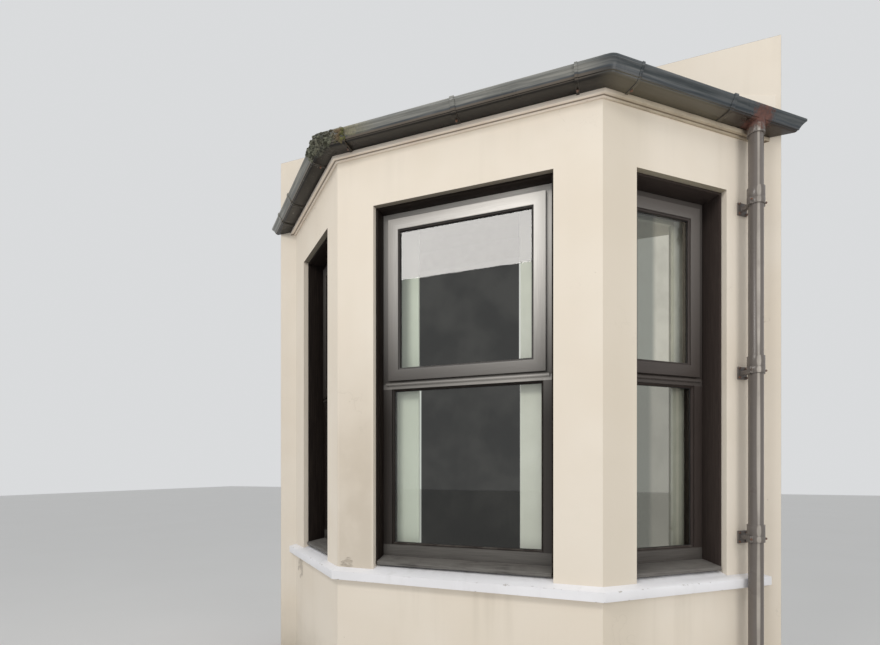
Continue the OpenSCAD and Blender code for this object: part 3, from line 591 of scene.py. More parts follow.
def glass_finish(side, centre, way):
    """Float glass whose colour holds painted shade and light: dark as painted shade of the room, clear
    where the white casings stand close behind it.
    """
    s = Finish(side + "_window_glass")
    across = s.vectors("DOT_PRODUCT", s.vectors("SUBTRACT", s.place, centre), way, "Value")
    film = s.noise(5.0, 4.0).band(0.35, 0.7)
    if side == "front":
        # Front: painted shade of the room in the middle; clear at the sides over the casings, with the
        # left painted darker than the right, and nearly dark again above the middle of the sash.
        tint_and_shade = s.mix(film, (0.022, 0.022, 0.019), (0.048, 0.047, 0.041))
        beside = abs(across - 0.022).band(0.27, 0.274)
        white = s.mix(across > 0.0, (0.8, 0.84, 0.76), (1.0, 1.0, 0.93))
        tint_and_shade = s.mix(beside * s.z.band(2.416, 2.424, 1.0, 0.05), tint_and_shade, white)
    else:
        # Side windows: a beige painted reflection of the neighbours' wall, darker to one side, clear
        # over the casing on the other, and darker below the transom.
        tint_and_shade = s.mix(across.band(-0.07, -0.03), (0.34, 0.35, 0.3), (0.72, 0.69, 0.58))
        tint_and_shade = s.mix(across.band(0.078, 0.082), tint_and_shade, (0.92, 0.9, 0.8))
        tint_and_shade = s.mix(film * 0.3, tint_and_shade, (0.3, 0.29, 0.24))
        tint_and_shade = s.mix(s.z.band(TRANSOM_Z - 0.01, TRANSOM_Z, 0.6, 0.0), tint_and_shade, (0.2, 0.2, 0.17))
    s.bump(s.noise(1.9, 2.0), 0.004, 0.12)
    pane = s.field("BsdfPrincipled", {
        "Base Color": tint_and_shade, "Roughness": 0.012, "IOR": 1.5, "Transmission Weight": 1.0,
        "Coat Weight": 0.25, "Coat Roughness": 0.01, "Normal": s.bumps,
    })
    passing = s.field("BsdfTransparent", {0: (0.92, 0.94, 0.92)})
    return s.surface(s.field("MixShader", {0: s.rays("Shadow", "Diffuse"), 1: pane, 2: passing}))


def slate_finish():
    """Blue-grey roofing slate, each one a little different, with lichen."""
    s = Finish("roofing_slate")
    tone = s.tone()
    split = s.streaks((34.0, 34.0, 60.0), 6.0, 0.7, distort=0.6)
    s.colour = s.mix(tone, colours().slate, (0.075, 0.07, 0.085))
    s.coat(split.band(0.4, 0.7, 0.0, 0.6), (0.12, 0.128, 0.14))
    lichen = s.noise(30.0, 6.0, 0.7).band(0.6, 0.64) * s.noise(4.0, 3.0).band(0.48, 0.6)
    s.coat(lichen * 0.8, (0.3, 0.31, 0.22))
    s.bump(split, 0.0012, 0.6)
    s.bump(s.noise(240.0, 3.0), 0.0004, 0.4)
    return s.close(split.band(0.3, 0.7, 0.45, 0.65), Specular_IOR_Level=0.5)


def lead_finish():
    """Dull grey lead with pale patina runs and dressing marks."""
    s = Finish("weathered_lead")
    run = s.streaks((18.0, 6.0, 5.0), 5.0, 0.65)
    s.colour = s.mix(run.band(0.4, 0.72), (0.17, 0.18, 0.195), (0.36, 0.37, 0.38))
    spot = s.noise(34.0, 5.0, 0.7).band(0.6, 0.68)
    s.coat(spot * 0.5, (0.1, 0.105, 0.11))
    painted = s.y.band(-0.014, -0.01)
    s.coat(painted, (0.86, 0.785, 0.68))
    s.bump(s.cells(26.0), 0.0025, 0.35)
    s.bump(s.noise(90.0, 3.0), 0.0006, 0.4)
    return s.close(run.band(0.3, 0.7, 0.42, 0.62), Metallic=(1.0 - painted) * 0.35)


def coat_gutter(s, aloft):
    """Painted light on the gutter's mouldings: a streaky painted reflection of the sky on the upper
    face, a painted highlight on the lower roll, teal at the right, and painted shade on the undersides,
    brown at the right as a painted reflection of the lit wall.
    """
    drawn = s.streaks((2.5, 2.5, 95.0), 4.0, 0.6)
    bare_and_sheen = s.mix(drawn.band(0.35, 0.65), (0.17, 0.175, 0.165), (0.34, 0.335, 0.305))
    # Painted reflection: the upper face paler and streaky, as if it mirrored the sky.
    s.coat(s.z.band(GUTTER_TOP_Z - 0.036, GUTTER_TOP_Z - 0.031) * 0.85, bare_and_sheen)
    # Painted highlight: the lower roll paler brown than the iron.
    low_roll = s.z.fade(GUTTER_TOP_Z - 0.042, GUTTER_TOP_Z - 0.039) * aloft
    s.coat(low_roll * 0.8, (0.13, 0.105, 0.08))
    right = s.x.band(0.6, 0.78) * aloft
    teal = s.mix(drawn.band(0.35, 0.65), (0.02, 0.03, 0.038), (0.075, 0.085, 0.095))
    s.coat(right * 0.85, teal)
    # Painted shade on the downward faces: near-black, brown at the right splay as a painted reflection
    # of the lit wall, dark brown again past the pipe.
    underside_shade = s.mix(s.x.band(0.66, 0.8), (0.006, 0.005, 0.004), (0.125, 0.11, 0.08))
    underside_shade = s.mix(s.x.band(1.15, 1.35), underside_shade, (0.045, 0.032, 0.025))
    low = s.z.fade(GUTTER_TOP_Z - 0.05, GUTTER_TOP_Z - 0.046) * aloft
    s.coat(s.slant().fade(-0.75, -0.35) * low * 0.94, underside_shade)


def coat_pipe(s, aloft):
    """Brown paint of the downpipe, paler along the side that the light meets."""
    outward = s.vectors("DOT_PRODUCT", s.normal(), (0.137, -0.99, 0.0), "Value")
    stripe = outward.band(0.955, 0.985) * s.noise(5.0, 3.0).band(0.3, 0.6, 0.45, 0.9)
    pipe = s.mix(stripe, (0.18, 0.155, 0.138), (0.56, 0.51, 0.45))
    s.coat((1.0 - aloft) * 0.8, pipe)


def coat_rust(s, grit):
    """Rust round the outlet and at the pipe's foot, and chips. Gives the rust's mask."""
    spout = along(PIPE_S, PIPE_OUT)
    outlet = s.near((spout.x, spout.y, WALL_HEAD_Z + 0.03), 0.095, 0.07)
    drip = s.near((spout.x, spout.y, 2.99), 0.1, 0.1) * 0.35
    foot = s.z.band(0.1, 0.4, 0.35, 0.0)
    rust = (s.most(outlet, drip, foot) * 0.7 + grit).band(0.9, 1.14)
    chips = s.noise(85.0, 6.0, 0.78).band(0.71, 0.73) * 0.7
    rust_colour = s.mix(s.noise(70.0, 5.0, 0.7), (0.07, 0.03, 0.026), (0.26, 0.12, 0.09))
    s.coat(s.most(rust, chips) * 0.85, rust_colour)
    return rust


def coat_growth(s, aloft, streak):
    """Moss and lichen at the left corner. Gives the moss's mask."""
    left = corner(GUTTER_LIP - 0.02)
    heap = s.near((-left.x - 0.01, left.y, GUTTER_TOP_Z - 0.02), 0.1, 0.09)
    trail = s.near((-0.5, left.y, GUTTER_TOP_Z), 0.17, 0.16) * 0.9
    patchy = s.noise(17.0, 6.0, 0.72) * 0.6 + s.noise(4.5, 3.0, 0.6) * 0.4
    upper = s.z.band(GUTTER_TOP_Z - 0.046, GUTTER_TOP_Z - 0.034)
    thin = s.x.band(-0.62, -0.36, 0.85, 0.0) * upper
    cover = s.most(s.x.fade(-0.7, -0.66), thin)
    growth = (s.most(heap, trail) * 0.46 + patchy).band(0.76, 0.88) * cover
    tint_and_shade = s.mix(s.x.band(-0.68, -0.6), (0.15, 0.155, 0.12), (0.33, 0.3, 0.16))
    # Painted shade: the moss mottled darker in the gaps between its lumps.
    gap_shade = s.mix(s.x.band(-0.68, -0.6), (0.02, 0.021, 0.015), (0.17, 0.15, 0.08))
    moss = s.mix(s.noise(75.0, 5.0, 0.7).band(0.42, 0.62), gap_shade, tint_and_shade)
    s.coat(growth * 0.85, moss)
    weathered = s.x.fade(-0.87, -0.8) * aloft * s.slant().band(-0.6, -0.2)
    s.coat(weathered * streak.band(0.35, 0.65, 0.5, 0.9), (0.19, 0.175, 0.14))
    lichen = s.noise(38.0, 6.0, 0.7).band(0.64, 0.67) * s.x.fade(-0.95, -0.5)
    s.coat(lichen * aloft * 0.6, (0.4, 0.4, 0.33))
    return growth


def iron_finish():
    """Painted cast iron: grey-blue, with painted shade on its undersides and painted highlights on the
    gutter and the pipe, rusty at the outlet, mossy at the left corner.
    """
    s = Finish("painted_cast_iron")
    cloud = s.noise(3.4, 4.0, 0.6)
    streak = s.streaks((7.0, 7.0, 60.0), 5.0, 0.65)
    grit = s.noise(46.0, 6.0, 0.75)
    aloft = s.z > WALL_HEAD_Z - 0.012
    s.colour = s.mix(cloud.band(0.3, 0.7), colours().iron, colours().iron_faded)
    s.coat(streak.band(0.5, 0.78, 0.0, 0.5), (0.19, 0.195, 0.195))
    coat_gutter(s, aloft)
    coat_pipe(s, aloft)
    worn = s.most(coat_rust(s, grit), coat_growth(s, aloft, streak))
    s.bump(s.noise(55.0, 4.0, 0.6), 0.0009, 0.35)
    s.bump(worn * grit, 0.004, 1.0)
    rough = s.most(cloud.band(0.3, 0.7, 0.26, 0.4), worn * 0.85)
    return s.close(rough, Specular_IOR_Level=0.25, Coat_Weight=0.15, Coat_Roughness=0.14)


def moss_finish():
    """Cushions of moss and silt in the gutter."""
    s = Finish("gutter_moss")
    s.colour = s.mix(s.noise(45.0, 5.0, 0.7), (0.05, 0.06, 0.02), (0.2, 0.2, 0.07))
    s.coat(s.noise(9.0).band(0.45, 0.65), (0.17, 0.12, 0.07))
    heap = s.x.band(-0.66, -0.6, 0.9, 0.0)
    silt = s.noise(40.0, 4.0, 0.7).band(0.4, 0.62)
    s.coat(heap, s.mix(silt, (0.02, 0.022, 0.015), (0.16, 0.165, 0.125)))
    s.bump(s.noise(320.0, 4.0, 0.7), 0.0015, 0.8)
    return s.close(s.noise(60.0).band(0.3, 0.7, 0.85, 0.98))


def rough_timber_finish():
    """Sawn softwood of rafters, joists and battens."""
    s = Finish("sawn_softwood")
    grain = s.streaks((40.0, 6.0, 60.0), 5.0, 0.65, distort=0.5)
    s.colour = s.mix(grain.band(0.35, 0.7), (0.34, 0.21, 0.1), (0.5, 0.35, 0.19))
    saw = s.streaks((6.0, 240.0, 6.0), 2.0, 0.5)
    s.coat(s.noise(5.0, 4.0).band(0.5, 0.75, 0.0, 0.5), (0.2, 0.13, 0.08))
    s.bump(grain, 0.001, 0.5)
    s.bump(saw, 0.0006, 0.5)
    return s.close(saw.band(0.3, 0.7, 0.75, 0.9))


def floor_finish():
    """Waxed pine boards, each of its own tone, with grain along the board."""
    s = Finish("waxed_floor_boards")
    tone = s.tone()
    place = s.vectors("ADD", s.place, s.field("CombineXYZ", {0: tone * 9.0, 1: tone * 3.0}))
    fine = s.streaks((3.0, 95.0, 95.0), 5.0, 0.65, place, 0.6)
    s.colour = s.mix(fine.band(0.35, 0.7), (0.23, 0.11, 0.045), (0.4, 0.22, 0.1))
    s.coat(tone * 0.45, (0.17, 0.08, 0.035))
    knot = s.cells(1.0, s.scaled((2.2, 9.0, 9.0), place)).fade(0.03, 0.09)
    s.coat(knot * 0.8, (0.06, 0.025, 0.012))
    s.bump(fine, 0.0005, 0.5)
    return s.close(fine.band(0.3, 0.7, 0.28, 0.45), Specular_IOR_Level=0.5)


def masonry_finish():
    """Plain brickwork under the floor."""
    s = Finish("common_brickwork")
    s.colour, joint = brick_pattern(s, s.x + s.y, s.z, 0.225, 0.075)
    s.bump(1.0 - joint, 0.004, 0.7)
    s.bump(s.noise(120.0, 4.0, 0.7), 0.001, 0.5)
    return s.close(s.noise(50.0).band(0.3, 0.7, 0.82, 0.95))


def bolt_finish():
    """Galvanised bolt heads gone dull and rusty."""
    s = Finish("rusty_bolts")
    s.colour = s.mix(s.noise(120.0, 5.0, 0.7).band(0.4, 0.62), (0.14, 0.13, 0.12), (0.22, 0.08, 0.035))
    s.bump(s.noise(260.0, 3.0), 0.0006, 0.6)
    return s.close(s.noise(90.0).band(0.3, 0.7, 0.5, 0.8), Metallic=0.3)


# Meshes


def add_piece(name, mesh, material):
    """Link a finished mesh as a piece that rides on the building."""
    mesh.materials.append(material)
    mesh.shade_smooth()
    mesh.set_sharp_from_angle(angle=SHARP)
    piece = bpy.data.objects.new(name, mesh)
    bpy.context.scene.collection.objects.link(piece)
    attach(piece, "root")
    return piece


def working(mesh):
    """A mesh opened for editing."""
    bm = bmesh.new()
    bm.from_mesh(mesh)
    return bm


def mesh_of(bm, name):
    """Close what was edited into a new mesh."""
    mesh = bpy.data.meshes.new(name)
    bm.to_mesh(mesh)
    bm.free()
    return mesh


def carried(mesh, kind):
    """An object that carries a mesh, and its new modifier."""
    carrier = bpy.data.objects.new("carrier", mesh)
    bpy.context.scene.collection.objects.link(carrier)
    return carrier, carrier.modifiers.new("shape", kind)


def baked(carrier):
    """Turn a carrier's evaluated shape into a plain mesh and clear the carrier away."""
    evaluated = carrier.evaluated_get(bpy.context.evaluated_depsgraph_get())
    result = bpy.data.meshes.new_from_object(evaluated)
    carrier.modifiers.clear()
    bpy.data.objects.remove(carrier)
    result.materials.clear()
    return result


def on_mitre(edge, reach=0.0005):
    """True where an edge lies in one of the two upright mitre planes of the bay."""
    lean = math.tan(SPLAY / 2)
    return all(abs(abs(vert.co.x) - HALF_FRONT + lean * (vert.co.y + PROJECTION)) <= reach
               for vert in edge.verts)


def bend(bm):
    """Round a corner fitting where its two halves meet."""
    mitre = [edge for edge in bm.edges if on_mitre(edge)]
    bmesh.ops.bevel(bm, geom=mitre, offset=sizes().corner_bend, segments=4, profile=0.5, affect="EDGES",
                    clamp_overlap=True, loop_slide=False)


def soften(node, name, width, material, keep_mitres=False, shape=None):
    """Replace a node by a merged copy with softened arrises."""
    bm = working(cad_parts[node].data)
    bmesh.ops.remove_doubles(bm, verts=bm.verts, dist=MERGE)
    bmesh.ops.dissolve_limit(bm, angle_limit=FLAT, verts=bm.verts, edges=bm.edges)
    if shape:
        shape(bm)
    weight = bm.edges.layers.float.new("bevel_weight_edge")
    for edge in bm.edges:
        sharp = len(edge.link_faces) == 2 and edge.calc_face_angle() > ARRIS
        edge[weight] = 1.0 if sharp and not (keep_mitres and on_mitre(edge)) else 0.0
    carrier, bevel = carried(mesh_of(bm, name), "BEVEL")
    bevel.width = width
    bevel.segments = 2
    bevel.limit_method = "WEIGHT"
    bevel.loop_slide = False
    piece = add_piece(name, baked(carrier), material)
    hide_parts(node)
    return piece


def dress(material, *nodes):
    """Give CAD nodes their finish."""
    for node in nodes:
        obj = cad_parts[node]
        for index in range(max(1, len(obj.material_slots))):
            if not obj.material_slots:
                obj.data.materials.append(material)
            obj.material_slots[index].material = material


def rounded(u0, u1, v0, v1, r):
    """Section of a board with its four arrises rounded."""
    points = []
    middles = ((u1 - r, v1 - r), (u0 + r, v1 - r), (u0 + r, v0 + r), (u1 - r, v0 + r))
    for quarter, (u, v) in enumerate(middles):
        for step in range(3):
            turn = math.radians(90 * quarter + 45 * step)
            points.append((u + r * math.cos(turn), v + r * math.sin(turn)))
    return points


class Joinery:
    """Members swept along straight lines, each with grain along it."""

    def __init__(self):
        self.bm = bmesh.new()
        self.uv = self.bm.loops.layers.uv.new("grain")
        self.shift = 0.0

    def member(self, stations, closed=False):
        """Skin over sections that stand one after another, its ends closed unless it is a ring."""
        stations = [[Vector(point) for point in ring] for ring in stations]
        rings = [[self.bm.verts.new(point) for point in ring] for ring in stations]
        count = len(rings[0])
        girth = [0.0]
        for j in range(count):
            girth.append(girth[-1] + (stations[0][(j + 1) % count] - stations[0][j]).length)
        for i in range(len(rings) if closed else len(rings) - 1):
            self.shift += GRAIN_STEP
            near, far = rings[i], rings[(i + 1) % len(rings)]
            span = (stations[(i + 1) % len(rings)][0] - stations[i][0]).length
            for j in range(count):
                k = (j + 1) % count
                face = self.bm.faces.new((near[j], near[k], far[k], far[j]))
                places = ((0, girth[j]), (0, girth[j + 1]), (span, girth[j + 1]), (span, girth[j]))
                for loop, (u, v) in zip(face.loops, places):
                    loop[self.uv].uv = (u + self.shift, v + self.shift)
        if not closed:
            for ring in (rings[0], rings[-1]):
                for loop in self.bm.faces.new(ring).loops:
                    x, y, z = loop.vert.co
                    loop[self.uv].uv = (self.shift + z * END_GRAIN, x + y)

    def ring(self, width, low, high, profile):
        """Four mitred members; the profile is (in from the outer edge, y)."""
        half = width / 2
        self.member([
            [(-half + u, y, low + u) for u, y in profile],
            [(half - u, y, low + u) for u, y in profile],
            [(half - u, y, high - u) for u, y in profile],
            [(-half + u, y, high - u) for u, y in profile],
        ], closed=True)

    def lying(self, half, profile):
        """A member along x, as far to the left as to the right; the profile is (y, z)."""
        self.member([[(x, y, z) for y, z in profile] for x in (-half, half)])

    def jambs(self, low, high, inner, outer, near, far, r):
        """Upright boards at the left and the right of an opening."""
        for sign in (-1, 1):
            profile = rounded(*sorted((sign * inner, sign * outer)), near, far, r)
            self.member([[(x, y, z) for x, y in profile] for z in (low, high)])

    def placed(self, matrix):
        """Move all that was made since the last call and start afresh."""
        bmesh.ops.transform(self.bm, matrix=matrix, verts=[v for v in self.bm.verts if not v.tag])
        for vert in self.bm.verts:
            vert.tag = True

    def mesh(self, name, matrix=None):
        if matrix:
            self.placed(matrix)
        bmesh.ops.recalc_face_normals(self.bm, faces=self.bm.faces)
        return mesh_of(self.bm, name)


def cut_away(bm, point, normal):
    """Remove what lies on the normal's side of a plane and close the cut."""
    parts = bm.verts[:] + bm.edges[:] + bm.faces[:]
    cut = bmesh.ops.bisect_plane(bm, geom=parts, dist=CUT, plane_co=point, plane_no=normal,
                                 clear_outer=True)
    edges = [item for item in cut["geom_cut"]
             if isinstance(item, bmesh.types.BMEdge) and item.is_boundary]
    if edges:
        bmesh.ops.edgeloop_fill(bm, edges=edges)


# Geometry node trees


class Growth(Web):
    """A geometry node tree that grows pieces on a mesh."""

    def __init__(self, name, sockets):
        super().__init__(bpy.data.node_groups.new(name, "GeometryNodeTree"))
        face = self.tree.interface
        face.new_socket(name="Geometry", in_out="INPUT", socket_type="NodeSocketGeometry")
        for label, kind in {**sockets, "Material": "Material"}.items():
            face.new_socket(name=label, in_out="INPUT", socket_type="NodeSocket" + kind)
        face.new_socket(name="Geometry", in_out="OUTPUT", socket_type="NodeSocketGeometry")
        self.given = {socket.name: Field(self, socket) for socket in self.node("NodeGroupInput").outputs}

    def vector(self, x, y, z):
        return self.field("CombineXYZ", {0: x, 1: y, 2: z})

    def random(self, low, high, seed):
        return self.field("FunctionNodeRandomValue", {2: low, 3: high, 8: seed}, 1, data_type="FLOAT")

    def strewn(self, points, piece, **inputs):
        """The piece on every point."""
        inputs.update({"Points": points, "Instance": piece})
        return self.field("GeometryNodeInstanceOnPoints", inputs)

    def close(self, instances):
        solid = self.field("GeometryNodeRealizeInstances", {0: instances})
        coated = self.field("GeometryNodeSetMaterial", {0: solid, 2: self.given["Material"]})
        self.node("NodeGroupOutput", {0: coated})
        return self.tree


def grown(tree, mesh, values):
    """Plain mesh that a geometry node tree makes of a mesh."""
    carrier, modifier = carried(mesh, "NODES")
    modifier.node_group = tree
    sockets = {item.name: item.identifier for item in tree.interface.items_tree
               if item.in_out == "INPUT"}
    for label, value in values.items():
        modifier[sockets[label]] = value
    return baked(carrier)


def courses_tree():
    """Rows of flat pieces, each row a step further up, broken in bond, each piece with its own tone."""
    g = Growth("laid_courses", {
        "Width": "Float", "Length": "Float", "Thickness": "Float", "Gap": "Float", "Step": "Float",
        "Columns": "Int", "Courses": "Int", "Bond": "Float", "Fall": "Float", "Lift": "Float",
        "Unevenness": "Float",
    })
    width, long, thick, columns = (g.given[name] for name in ("Width", "Length", "Thickness", "Columns"))
    uneven = g.given["Unevenness"]
    index = g.field("GeometryNodeInputIndex")
    row = g.math("FLOOR", (index + 0.5) / columns)
    middle = (columns - 1.0) * 0.5
    x = (index - row * columns - middle + row % 2.0 * g.given["Bond"]) * width
    place = g.vector(x, row * g.given["Step"], g.given["Lift"])
    points = g.field("GeometryNodePoints", {0: columns * g.given["Courses"], 1: place})
    slab = g.field("GeometryNodeMeshCube", {"Size": g.vector(width - g.given["Gap"], long, thick)})
    half = g.vector(0.0, long * 0.5, thick * 0.5)
    slab = g.field("GeometryNodeTransform", {"Geometry": slab, "Translation": half})
    sway = g.vector(g.random(-uneven, 0.0, 3) - g.given["Fall"], 0.0, g.random(-uneven, uneven, 5))
    laid = g.strewn(points, slab, Rotation=g.field("FunctionNodeEulerToRotation", {0: sway}))
    inputs = {"Geometry": laid, "Name": "tone", "Value": g.random(0.0, 1.0, 11)}
    toned = g.field("GeometryNodeStoreNamedAttribute", inputs, data_type="FLOAT", domain="INSTANCE")
    return g.close(toned)


def fixings_tree():
    """Bolt heads on points that carry the way they face."""
    g = Growth("fixings", {"Radius": "Float", "Height": "Float", "Sides": "Int"})
    points = g.field("GeometryNodeMeshToPoints", {0: g.given["Geometry"]})
    facing = g.field("GeometryNodeInputNamedAttribute", {"Name": "facing"}, data_type="FLOAT_VECTOR")
    turn = g.field("FunctionNodeAlignRotationToVector", {"Vector": facing}, axis="Z")
    radius = g.given["Radius"]
    head = g.field("GeometryNodeMeshCone", {
        "Vertices": g.given["Sides"], "Radius Top": radius * 0.8, "Radius Bottom": radius,
        "Depth": g.given["Height"],
    })
    return g.close(g.strewn(points, head, Rotation=turn))


def tufts_tree():
    """Small cushions strewn over a surface."""
    g = Growth("tufts", {"Density": "Float", "Radius": "Float", "Seed": "Int"})
    points = g.field("GeometryNodeDistributePointsOnFaces", {
        "Mesh": g.given["Geometry"], "Density": g.given["Density"], "Seed": g.given["Seed"],
    })
    ball = g.field("GeometryNodeMeshIcoSphere", {"Radius": g.given["Radius"], "Subdivisions": 2})
    wide = g.random(0.45, 1.4, 13)
    return g.close(g.strewn(points, ball, Scale=g.vector(wide, wide * 0.9, wide * 0.6)))


# Settings


def colour(label, text, value):
    return bpy.props.FloatVectorProperty(
        name=label, description=text, subtype="COLOR", size=3, min=0.0, max=1.0, default=value)


def number(subtype, unit="NONE"):
    """Maker of number settings of one kind."""
    def made(label, text, value):
        return bpy.props.FloatProperty(
            name=label, description=text, subtype=subtype, unit=unit, default=value)
    return made


length, factor, power = number("DISTANCE", "LENGTH"), number("FACTOR"), number("POWER", "POWER")


class BayColours(bpy.types.PropertyGroup):
    render: colour("Render", "Paint on the render", (0.86, 0.785, 0.68))
    render_worn: colour("Worn render", "Paint on the render where it has weathered", (0.82, 0.735, 0.62))
    sill: colour("Sill", "Paint on the sill stones", (0.91, 0.905, 0.93))
    brown: colour("Brown", "Coat on the window timber", (0.013, 0.01, 0.009))
    brown_light: colour("Light brown", "Coat where the grain shows through", (0.03, 0.023, 0.019))
    slate: colour("Slate", "Roofing slates", (0.058, 0.066, 0.08))
    iron: colour("Iron", "Paint on the gutter and the pipe", (0.047, 0.053, 0.06))
    iron_faded: colour("Faded iron", "The same paint where it has faded", (0.085, 0.092, 0.098))


class BaySizes(bpy.types.PropertyGroup):
    stone_arris: length("Stone arris", "Softened edge of the sill stones", 0.003)
    moulding_arris: length("Moulding arris", "Softened edge of the eaves moulding", 0.003)
    iron_arris: length("Iron arris", "Softened edge of the castings", 0.001)
    lead_arris: length("Lead arris", "Softened edge of the lead", 0.0012)
    timber_arris: length("Timber arris", "Rounding of the window members", 0.003)
    slate_width: length("Slate width", "Width of a slate", 0.2)
    slate_length: length("Slate length", "Length of a slate", 0.36)
    slate_thickness: length("Slate thickness", "Thickness of a slate", 0.005)
    slate_gauge: length("Gauge", "Step from one course of slates to the next", 0.14)
    batten_width: length("Batten width", "Width of a slating batten", 0.038)
    batten_depth: length("Batten depth", "Depth of a slating batten", 0.019)
    board_length: length("Board length", "Length of a floor board between its joints", 1.25)
    board_thickness: length("Board thickness", "Thickness of a floor board", 0.022)
    corner_bend: length("Corner bend", "Reach of the bend in a corner fitting", 0.02)
    bolt_radius: length("Bolt radius", "Radius of the bolt heads", 0.0065)
    tuft_radius: length("Tuft radius", "Radius of a cushion of moss", 0.009)


class BayLight(bpy.types.PropertyGroup):
    sky: factor("Sky", "Strength of the even light", 0.64)
    backdrop: factor("Backdrop", "Paleness of the background", 0.72)
    key: power("Key", "Power of the soft lamp on the left", 80.0)
    side: power("Side", "Power of the soft lamp on the right", 32.0)


def colours():
    return bpy.context.scene.bay_colours


def sizes():
    return bpy.context.scene.bay_sizes


# Operators


class DressWalls(bpy.types.Operator):
    """Render, plaster and brickwork on the walls, and plaster on the ceiling"""

    bl_idname = "bay.walls"
    bl_label = "Walls and ceiling"

    def execute(self, context):
        walls = ["%s_%s" % (side, wall) for side in SIDES for wall in ("base_wall", "lintel")]
        walls += ["%s_%s" % (side, wall) for side in ("left", "right")
                  for wall in ("corner_pier", "end_pier", "house_jamb")]
        dress(render_finish(), "opening_beam", "house_wall_over", *walls)
        dress(masonry_finish(), "sleeper_wall")
        dress(plaster_finish(), "ceiling")
        dress(rough_timber_finish(), "floor_joists", "roof_rafters")
        return {"FINISHED"}


class DressSills(bpy.types.Operator):
    """Painted sill stones with softened arrises"""

    bl_idname = "bay.sills"
    bl_label = "Sill stones"

    def execute(self, context):
        stone = stone_finish()
        for side in SIDES:
            soften(side + "_sill", side + "_sill_stone", sizes().stone_arris, stone, keep_mitres=True)
        return {"FINISHED"}


# Section of a sash member in millimetres, in from its edge and back from its face
SASH_SECTION = (
    (0, 20), (0, 3.5), (1, 1), (3.5, 0), (56, 0), (59, 1), (60, 3), (60, 7.5), (61, 8), (66, 8.8),
    (69, 10.6), (70, 13.5), (70, 20), (60, 20), (60, 26), (70, 26), (70, 35), (68, 38), (60, 38),
    (60, 58), (18, 58), (18, 20),
)
# Section of the weather bar under the sash in millimetres, out from the frame's face and up the transom
WEATHER_BAR_SECTION = ((-2, 17), (4, 17), (9, 19), (12, 22), (13, 27), (12, 32), (9, 35.5), (-2, 39))
# Section of the bead of the fixed light in millimetres, in the same way from the frame's face
BEAD_SECTION = ((0, 24), (0, 10.5), (1, 9.5), (3, 9.6), (9, 15), (10, 17), (10, 24))
BACK_BEAD_SECTION = ((0, 30), (10, 30), (10, 38), (8, 42), (0, 42))


def in_metres(section, back):
    """A section in millimetres, set back from the wall's face."""
    return [(u / 1000, back + v / 1000) for u, v in section]


def window_frame(opening, back, r):
    """Frame, transom with its weather bar, glazing beads and bottom board of a window."""
    half = opening / 2
    front, rear = back + 0.0005, back + FRAME_DEPTH - 0.0005
    made = Joinery()
    made.ring(opening, FRAME_Z, HEAD_Z, rounded(0, FRAME_W, back, back + FRAME_DEPTH, r))
    bar = [(back - y / 1000, TRANSOM_Z + z / 1000) for y, z in WEATHER_BAR_SECTION]
    made.lying(half - FRAME_W / 2, bar)
    made.lying(half - FRAME_W + r, rounded(front, rear, TRANSOM_Z, TRANSOM_Z + TRANSOM_H, r))
    for section in (BEAD_SECTION, BACK_BEAD_SECTION):
        made.ring(opening - 2 * FRAME_W, FRAME_Z + FRAME_W, TRANSOM_Z, in_metres(section, back))
    made.lying(half, rounded(back, back + FRAME_DEPTH, FRAME_SILL_Z, FRAME_Z, 0.001))
    return made


def timber_sill(opening, back):
    """Sloping timber sill with a rounded nose."""
    made = Joinery()
    low, high = FRAME_SILL_Z, FRAME_Z
    made.lying(opening / 2 - LINING_T, (
        (0.02, low), (0.02, low + 0.0155), (0.0208, low + 0.0172), (0.0225, low + 0.0184),
        (back - 0.004, high - 0.0008), (back + 0.002, high - 0.0004), (back + 0.002, low)))
    return made


